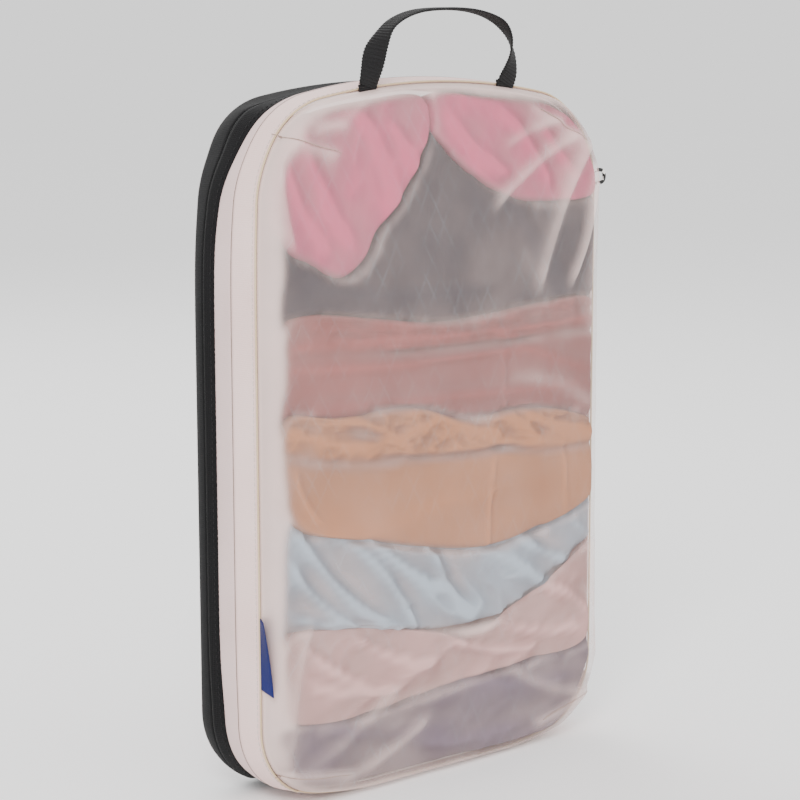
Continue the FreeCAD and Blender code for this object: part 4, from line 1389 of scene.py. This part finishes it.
@dataclass
class Handle:
    """Ribbed webbing: sewn flat in the seam, twisting a quarter turn into the arch."""

    cube: Cube
    shell: Shell
    width: float = 11.8 * MM
    thick: float = 1.3 * MM
    rib_mm: float = 1.7
    twist_left: float = 34 * MM
    twist_right: float = 41 * MM
    # Middle line of the webbing in the XZ plane, from the left foot, in millimetres.
    line: tuple[Point, ...] = ((-48.0, 369.0), (-45.2, 378.0), (-41.2, 389.6), (-32.2, 400.4), (-16.0, 406.6),
                               (6.0, 408.2), (26.0, 407.0), (42.0, 402.4), (50.4, 394.8), (53.6, 385.5),
                               (52.6, 376.5), (48.6, 368.4))

    def path(self, count: int) -> tuple[Array, Array]:
        """Evenly spaced points along the webbing.

        Args:
            count: how many points.

        Returns:
            X and Z of each point, and its run in metres.
        """
        points = np.array(self.line) * MM
        knots = np.linspace(0, 1, len(points))
        spread = np.linspace(0, 1, 400)
        smooth = np.stack([self.spline(knots, points[:, k], spread) for k in (0, 1)], -1)
        runs = np.concatenate(([0.0], np.cumsum(np.linalg.norm(np.diff(smooth, axis=0), axis=1))))
        even = np.linspace(0, runs[-1], count)
        line = np.stack([np.interp(even, runs, smooth[:, k]) for k in (0, 1)], -1)
        return line, even

    @staticmethod
    def spline(knots: Array, values: Array, at: Array) -> Array:
        """Smooth curve through evenly spaced values.

        Args:
            knots: where the values stand.
            values: one per knot.
            at: where the curve is read.

        Returns:
            The curve's value at each place.
        """
        step = knots[1] - knots[0]
        slope = np.gradient(values, step)
        index = np.clip((at / step).astype(int), 0, len(values) - 2)
        t = at / step - index
        v0, v1, m0, m1 = values[index], values[index + 1], slope[index] * step, slope[index + 1] * step
        return ((2 * t**3 - 3 * t**2 + 1) * v0 + (t**3 - 2 * t**2 + t) * m0
                + (-2 * t**3 + 3 * t**2) * v1 + (t**3 - t**2) * m1)

    def build(self) -> None:
        """Makes the strap with its ribs, and its two sewn feet."""
        count = 560
        line, runs = self.path(count)
        along = np.gradient(line, axis=0)
        along /= np.linalg.norm(along, axis=1)[:, None]
        outward = np.stack((-along[:, 1], np.zeros(count), along[:, 0]), -1)
        share = np.minimum(runs / self.twist_left, (runs[-1] - runs) / self.twist_right)
        twist = (math.pi / 2) * smoothstep(share)
        front = np.array((0.0, -1.0, 0.0))
        normal = front * np.cos(twist)[:, None] + outward * np.sin(twist)[:, None]
        direction = np.stack((along[:, 0], np.zeros(count), along[:, 1]), -1)
        across = np.cross(direction, normal)
        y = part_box("handle_foot_left")
        y_mid = (y[0][1] + y[1][1]) / 2
        centre = np.stack((line[:, 0], np.full(count, y_mid), line[:, 1]), -1)
        strands = np.linspace(-1, 1, 13)
        ribs = 0.16 * MM * np.cos(2 * math.pi * runs / (self.rib_mm * MM))
        edge = 1 - 0.75 * np.abs(strands) ** 10
        selvedge = 0.18 * MM * np.cos(2 * math.pi * runs / (self.rib_mm * MM))
        columns = []
        for side in (1.0, -1.0):
            for strand, soft in zip(strands[:: int(side)], edge[:: int(side)]):
                reach = self.width / 2 * strand + selvedge * (abs(strand) > 0.99) * np.sign(strand)
                lift = side * (self.thick / 2 * soft + ribs * soft)
                columns.append(centre + across * reach[:, None] + normal * lift[:, None])
        verts = np.stack(columns, 1)
        faces = grid_faces(count, verts.shape[1], wrap_columns=True)
        faces.append(tuple(range(verts.shape[1])))
        total = count * verts.shape[1]
        faces.append(tuple(range(total - 1, total - verts.shape[1] - 1, -1)))
        wide = np.concatenate((strands, strands[::-1])) * self.width / 2
        uvs = np.stack((np.repeat(runs, verts.shape[1]), np.tile(wide, count)), -1)
        strap = mesh_object("webbing_handle", verts.reshape(-1, 3), faces, uvs)
        self.shell.dress(strap, "webbing", "handle", "webbing", "handle_strap")
        for node in ("handle_foot_left", "handle_foot_right"):
            self.foot(node)

    def foot(self, node: str) -> None:
        """One end of the webbing, tucked under the piping.

        Args:
            node: the foot that it stands for.
        """
        low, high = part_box(node)
        xs = np.linspace(low[0] + 0.7 * MM, high[0] - 0.7 * MM, 16)
        runs = np.interp(xs, [low[0], high[0]], [0, 1])
        crown = self.cube.outline
        top = crown.height - crown.crown_radius + np.sqrt(crown.crown_radius**2 - xs**2)
        parts = []
        for dz, dy in ((-1.4, 0.2), (-0.2, 0.0), (0.9, 0.0), (1.9, 0.3)):
            y = np.full_like(xs, (low[1] + high[1]) / 2 + dy * MM)
            parts.append(tube(np.stack((xs, y, top + dz * MM), -1), 0.75 * MM, 8, flat=0.85))
        piece = join_meshes(node + "_webbing", parts, [np.stack((np.repeat(runs, 8), np.zeros(len(xs) * 8)), -1)
                                                       for _ in parts])
        self.shell.dress(piece, "webbing", "lid", "webbing", node)


@dataclass
class WovenTag:
    """A folded tag, caught in the left seam and turning outwards towards its foot."""

    cube: Cube
    shell: Shell
    reach: float = 11.5 * MM
    thick: float = 0.9 * MM

    def build(self) -> None:
        """Makes the two plies and the rolled fold."""
        low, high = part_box("woven_tag")
        levels = np.linspace(high[2], low[2], 30)
        share = np.linspace(0, 1, 30)
        turn = np.radians(30 - 27 * share)
        reach = self.reach * (0.94 + 0.06 * share)
        section = []
        for side in (1.0, -1.0):
            steps = np.linspace(0, 1, 14)[:: int(side)]
            for t in steps:
                open_by = self.thick / 2 * (0.55 + 0.6 * t) * math.sqrt(max(0.0, 1 - t**8))
                section.append((t, side * open_by))
        rows = []
        for z, angle, wide, s in zip(levels, turn, reach, share):
            out = np.array((-math.sin(angle), -math.cos(angle)))
            flat = np.array((-out[1], out[0]))
            curl = 0.6 * MM * math.sin(math.pi * s)
            points = []
            for t, open_by in section:
                spot = out * (wide * t) + flat * (open_by + curl * t * t)
                droop = -2.2 * MM * t * s
                points.append((-self.cube.outline.half + spot[0] + 0.2 * MM, self.cube.front_seam + spot[1], z + droop))
            rows.append(points)
        verts = np.array(rows)
        columns = verts.shape[1]
        faces = grid_faces(len(levels), columns, wrap_columns=True)
        total = verts.shape[0] * columns
        faces += [tuple(range(columns)), tuple(range(total - 1, total - columns - 1, -1))]
        across = np.array([t for t, _ in section]) * self.reach
        uvs = np.stack((np.repeat(levels, columns), np.tile(across, len(levels))), -1)
        tag = mesh_object("blue_woven_tag", verts.reshape(-1, 3), faces, uvs)
        self.shell.dress(tag, "tag", "lid", "tag", "woven_tag")


@dataclass
class ZipPull:
    """A slider with its ring, knot and speckled cord loop.

    The loop's route starts at the knot and comes back to it.
    """

    shell: Shell
    slider_node: str
    pull: str
    pivot: tuple[float, float, float]
    out: tuple[float, float, float]
    lean: float
    route: tuple[tuple[float, float, float], ...]
    length: float = 31.5 * MM
    cord: float = 2.1 * MM
    stand: float = 2.55 * MM

    def to_world(self, points: Array, origin: Array) -> Array:
        """Sets points of a slider into the bag.

        Args:
            points: (out, across the zip, along the zip) of each point.
            origin: where the slider's own middle goes.

        Returns:
            X, Y and Z of each point.
        """
        out = np.array((math.cos(self.lean), 0.0, math.sin(self.lean)))
        up = np.array((-math.sin(self.lean), 0.0, math.cos(self.lean)))
        return origin + points[:, :1] * out + points[:, 1:2] * np.array((0, 1, 0)) + points[:, 2:] * up

    def slider(self) -> None:
        """The slider body: a waisted plate with a rounded rim, and its bridge."""
        pivot = np.array(self.pivot)
        foot = 0.3 * MM - self.stand
        outline = ((-5.4, 2.5), (-2.0, 2.7), (1.5, 3.7), (4.6, 3.5), (5.5, 1.4), (5.5, -1.4), (4.6, -3.5),
                   (1.5, -3.7), (-2.0, -2.7), (-5.4, -2.5))
        rim = closed_curve([(a, b) for a, b in outline], 60)
        levels = ((0.0, 0.86), (0.15, 0.97), (0.5, 1.0), (1.1, 1.0), (1.4, 0.93), (1.5, 0.8))
        rows = [np.stack((np.full(60, foot + h * MM), rim[:, 1] * k, rim[:, 0] * k), -1) for h, k in levels]
        verts = self.to_world(np.vstack(rows), pivot)
        faces = grid_faces(len(levels), 60, wrap_columns=True)
        faces += [tuple(range(59, -1, -1)), tuple(range(len(verts) - 60, len(verts)))]
        top = foot + 1.4 * MM
        t = np.linspace(0, math.pi, 15)
        arch = np.stack((top + 2.5 * MM * np.sin(t) ** 0.6, np.zeros(15), -3.4 * MM * np.cos(t)), -1)
        bridge = tube(self.to_world(arch, pivot), 0.62 * MM, 10, flat=0.75)
        piece = join_meshes(self.slider_node + "_cast", [(verts, faces), bridge])
        self.shell.dress(piece, "zinc", self.slider_node, "black_metal", self.slider_node)

    def ring(self) -> None:
        """A rounded wire ring through the bridge."""
        low, high = 0.0, 5.8 * MM
        half = 2.3 * MM
        bend = 1.1 * MM
        path = []
        corners = ((high - bend, half - bend, 0.0), (low + bend, half - bend, 90.0), (low + bend, bend - half, 180.0),
                   (high - bend, bend - half, 270.0))
        for u, v, first in corners:
            for turn in np.radians(np.linspace(first, first + 90, 7)):
                path.append((u + bend * math.cos(turn), v + bend * math.sin(turn)))
        out, across = np.array(self.out), np.array((0.0, 1.0, 0.0))
        line = np.array([np.array(self.pivot) + out * u + across * v for u, v in path])
        normal = np.cross(out, across)
        piece = join_meshes(self.pull + "_wire_ring", [tube(line, 0.52 * MM, 8, closed=True, up=normal)])
        self.shell.dress(piece, "zinc", self.pull, "black_metal", self.pull + "_ring")

    def knot(self) -> bpy.types.Object:
        """The overhand knot that ties the cord's two ends on the ring."""
        t = np.linspace(0, 2 * math.pi, 72, endpoint=False)
        u = (np.sin(t) + 2 * np.sin(2 * t)) / 3 * 1.35
        v = (np.cos(t) - 2 * np.cos(2 * t)) / 3 * 1.35
        w = -np.sin(3 * t) * 0.85
        out, across = np.array(self.out), np.array((0.0, 1.0, 0.0))
        normal = np.cross(out, across)
        centre = np.array(self.pivot) + out * (7.9 * MM)
        line = centre + (np.outer(w, out) + np.outer(u, across) + np.outer(v, normal)) * MM
        piece = join_meshes(self.pull + "_cord_knot", [tube(line, 0.98 * MM, 10, closed=True, up=out)])
        self.shell.dress(piece, "braid", self.pull, "pull_cord", self.pull + "_knot")
        return piece

    def loop(self, knot: bpy.types.Object) -> None:
        """The cord's own line, a smooth curve on the route's points.

        Args:
            knot: not used.
        """
        curve = bpy.data.curves.new(self.pull + "_cord_loop", "CURVE")
        curve.dimensions = "3D"
        curve.bevel_depth = self.cord / 2
        curve.bevel_resolution = 4
        curve.resolution_u = 16
        curve.use_fill_caps = True
        spline = curve.splines.new("NURBS")
        spline.points.add(len(self.route) - 1)
        for point, place in zip(spline.points, self.route):
            point.co = (*place, 1.0)
        spline.order_u = 3
        spline.use_endpoint_u = True
        piece = bpy.data.objects.new(self.pull + "_cord_loop", curve)
        bpy.context.scene.collection.objects.link(piece)
        self.shell.dress(piece, "braid", self.pull, "pull_cord", self.pull + "_cord")

    def build(self) -> None:
        """Makes the slider and everything on it."""
        self.slider()
        self.ring()
        self.loop(self.knot())


# ---------------------------------------------------------------- studio


@dataclass
class Studio:
    """Pale floor, soft lights, and a long lens from the front left."""

    azimuth: float = -42.15
    elevation: float = 10.0
    distance: float = 1.267
    lens: float = 106.65
    target: tuple[float, float, float] = (0.0, -0.02295, 0.1805)
    shift: tuple[float, float] = (-0.0406, 0.052)

    def camera(self) -> None:
        """Places the camera that frames the whole cube."""
        data = bpy.data.cameras.new("camera")
        data.lens = self.lens
        data.sensor_width = 36.0
        data.shift_x, data.shift_y = self.shift
        data.clip_end = 50.0
        camera = bpy.data.objects.new("camera", data)
        a, e = math.radians(self.azimuth), math.radians(self.elevation)
        back = Vector((math.sin(a) * math.cos(e), -math.cos(a) * math.cos(e), math.sin(e)))
        camera.location = Vector(self.target) + back * self.distance
        camera.rotation_euler = (-back).to_track_quat("-Z", "Y").to_euler()
        bpy.context.scene.collection.objects.link(camera)
        bpy.context.scene.camera = camera

    def light(self, name: str, place: tuple[float, float, float], size: float, power: float) -> None:
        """Adds a soft square light that faces the middle of the cube.

        Args:
            name: the light's name.
            place: where it hangs.
            size: its side in metres.
            power: its watts.
        """
        data = bpy.data.lights.new(name, "AREA")
        data.size = size
        data.energy = power
        lamp = bpy.data.objects.new(name, data)
        lamp.location = place
        lamp.rotation_euler = (Vector(self.target) - Vector(place)).to_track_quat("-Z", "Y").to_euler()
        bpy.context.scene.collection.objects.link(lamp)

    def build(self) -> None:
        """Makes the floor, the lights, the sky and the camera."""
        half = 6.0
        verts = np.array([(-half, -half, 0), (half, -half, 0), (half, half, 0), (-half, half, 0)], float)
        floor = mesh_object("studio_floor", verts, [(0, 1, 2, 3)])
        material, _, shader = start_material("white_paper")
        shader.inputs["Base Color"].default_value = linear("#ffffff")
        shader.inputs["Roughness"].default_value = 0.9
        floor.data.materials.append(material)
        world = bpy.data.worlds.new("studio")
        world.use_nodes = True
        sky = world.node_tree.nodes["Background"]
        sky.inputs["Color"].default_value = (1.0, 1.0, 1.0, 1.0)
        sky.inputs["Strength"].default_value = 1.3
        bpy.context.scene.world = world
        self.light("key", (-1.5, -1.3, 1.7), 0.9, 42.0)
        self.light("fill", (1.6, -1.2, 0.9), 1.4, 8.0)
        self.light("rim", (0.4, 1.5, 1.6), 1.2, 16.0)
        self.camera()


def make_finishes() -> dict[str, bpy.types.Material]:
    """Builds every material once."""
    recipes = {
        "panel": CoatedRipstop(),
        "gusset": Cloth("gusset_nylon", "#e3dad8", "#cdc3c1", Weave.TAPE, 1.4, roughness=0.5),
        "ivory_tape": IVORY_TAPE,
        "ivory_tape_back": GREY_IVORY_TAPE,
        "black_tape": BLACK_TAPE,
        "piping": PIPING,
        "binding": BINDING,
        "webbing": WEBBING,
        "tag": TAG,
        "thread": THREAD,
        "dart": DART_THREAD_AND_SHADE,
        "black_thread": BLACK_THREAD,
        "tan_coil": TAN_COIL,
        "black_coil": BLACK_COIL,
        "zinc": PAINTED_ZINC,
        "crimp": CRIMPED_METAL,
        "braid": SpeckledBraid(),
    }
    # Cotton jersey: soft, matt, with fine knit columns drawn coarse enough to read. The second colour of each pair is
    # the painted shade for the creases.
    knits = {
        "pink_jersey": ("#c65877", "#84384f"),
        "grey_jersey": ("#37373e", "#1e1e24"),
        "rose_jersey": ("#93504c", "#572927"),
        "peach_jersey": ("#b0754f", "#6b4126"),
        "blue_jersey": ("#a2b1be", "#56636f"),
        "pale_jersey": ("#d3a6a2", "#80544f"),
        "mauve_jersey": ("#6b5e6e", "#3a313c"),
    }
    for name, (light, dark) in knits.items():
        recipes[name] = Cloth(name, light, dark, Weave.JERSEY, 1.3, bump=0.03, roughness=0.95, specular=0.3,
                              contrast=0.05, paints_crease_shade=True)
    return {key: recipe.build() for key, recipe in recipes.items()}


def build_pulls(shell: Shell) -> None:
    """Makes the parked main slider, whose pull sticks out, and the compression slider.

    Args:
        shell: the bag whose zips they close.
    """
    knot_end = 9.52 * MM
    outline = shell.cube.outline
    tx, tz = outline.top_centre
    lean = math.asin(3.0 * MM / outline.top_radius)
    radius = outline.top_radius + ZipPull.stand
    pivot = (tx + radius * math.cos(lean), shell.cube.main_slit, tz + radius * math.sin(lean))
    reach = ((0.0, 1.2), (4.8, 3.7), (13.5, 3.7), (13.5, -3.7), (4.8, -3.7), (0.0, -1.2))
    route = tuple((pivot[0] + knot_end + u * MM, pivot[1], pivot[2] + w * MM) for u, w in reach)
    ZipPull(shell, "main_slider", "main_pull", pivot, (1.0, 0.0, 0.0), lean, route).build()
    pivot = (outline.half + ZipPull.stand, shell.cube.press_slit, tz - 13.0 * MM)
    hang = math.radians(17.0)
    out = (math.sin(hang), 0.0, -math.cos(hang))
    route = tuple((pivot[0] + out[0] * (knot_end + u * MM), pivot[1] + w * MM, pivot[2] + out[2] * (knot_end + u * MM))
                  for u, w in reach)
    ZipPull(shell, "compression_slider", "compression_pull", pivot, out, 0.0, route).build()


def main() -> None:
    """Builds the studio, then the bag from its zips outwards, then what is packed in it."""
    logging.basicConfig(level=logging.INFO, format="%(message)s")
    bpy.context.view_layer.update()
    Studio().build()
    cube = Cube()
    shell = Shell(cube, make_finishes())
    build_pulls(shell)
    shell.compression_zip()
    shell.main_zip()
    shell.seams()
    shell.gusset()
    shell.stops()
    front_recipe, back_recipe = FrontPanel(cube), BackPanel(cube)
    front = shell.dress(front_recipe.build(), "panel", "lid", "panel", "front_panel")
    back = shell.dress(back_recipe.build(), "panel", "back_shell", "panel", "back_panel")
    stretched = front_recipe.surface(False)
    clothes = Facing(Clothes.build(shell, Facing([stretched])))
    shell.dress(Darts().build(Facing([mesh_parts(front)])), "dart", "lid", "panel")
    grid = (front_recipe.rows, front_recipe.columns)
    folded, smooth = (recipe_points.reshape(*grid, 3) for recipe_points in (mesh_parts(front)[0], stretched[0]))
    # Beside the right seam the clothes press into the corner.
    inside = np.minimum(folded[..., 0], 114 * MM)
    gap = clothes.depth(inside, folded[..., 2], folded[..., 1] - 1 * MM, 1.0) - folded[..., 1]
    set_nearness(front, gap, smooth[..., 1] - folded[..., 1])
    grid = (back_recipe.rows, back_recipe.columns)
    set_nearness(back, np.full(grid, 6 * MM), np.zeros(grid))
    subdivide(front)
    subdivide(back)
    Handle(cube, shell).build()
    WovenTag(cube, shell).build()


if __name__ == "__main__":
    main()
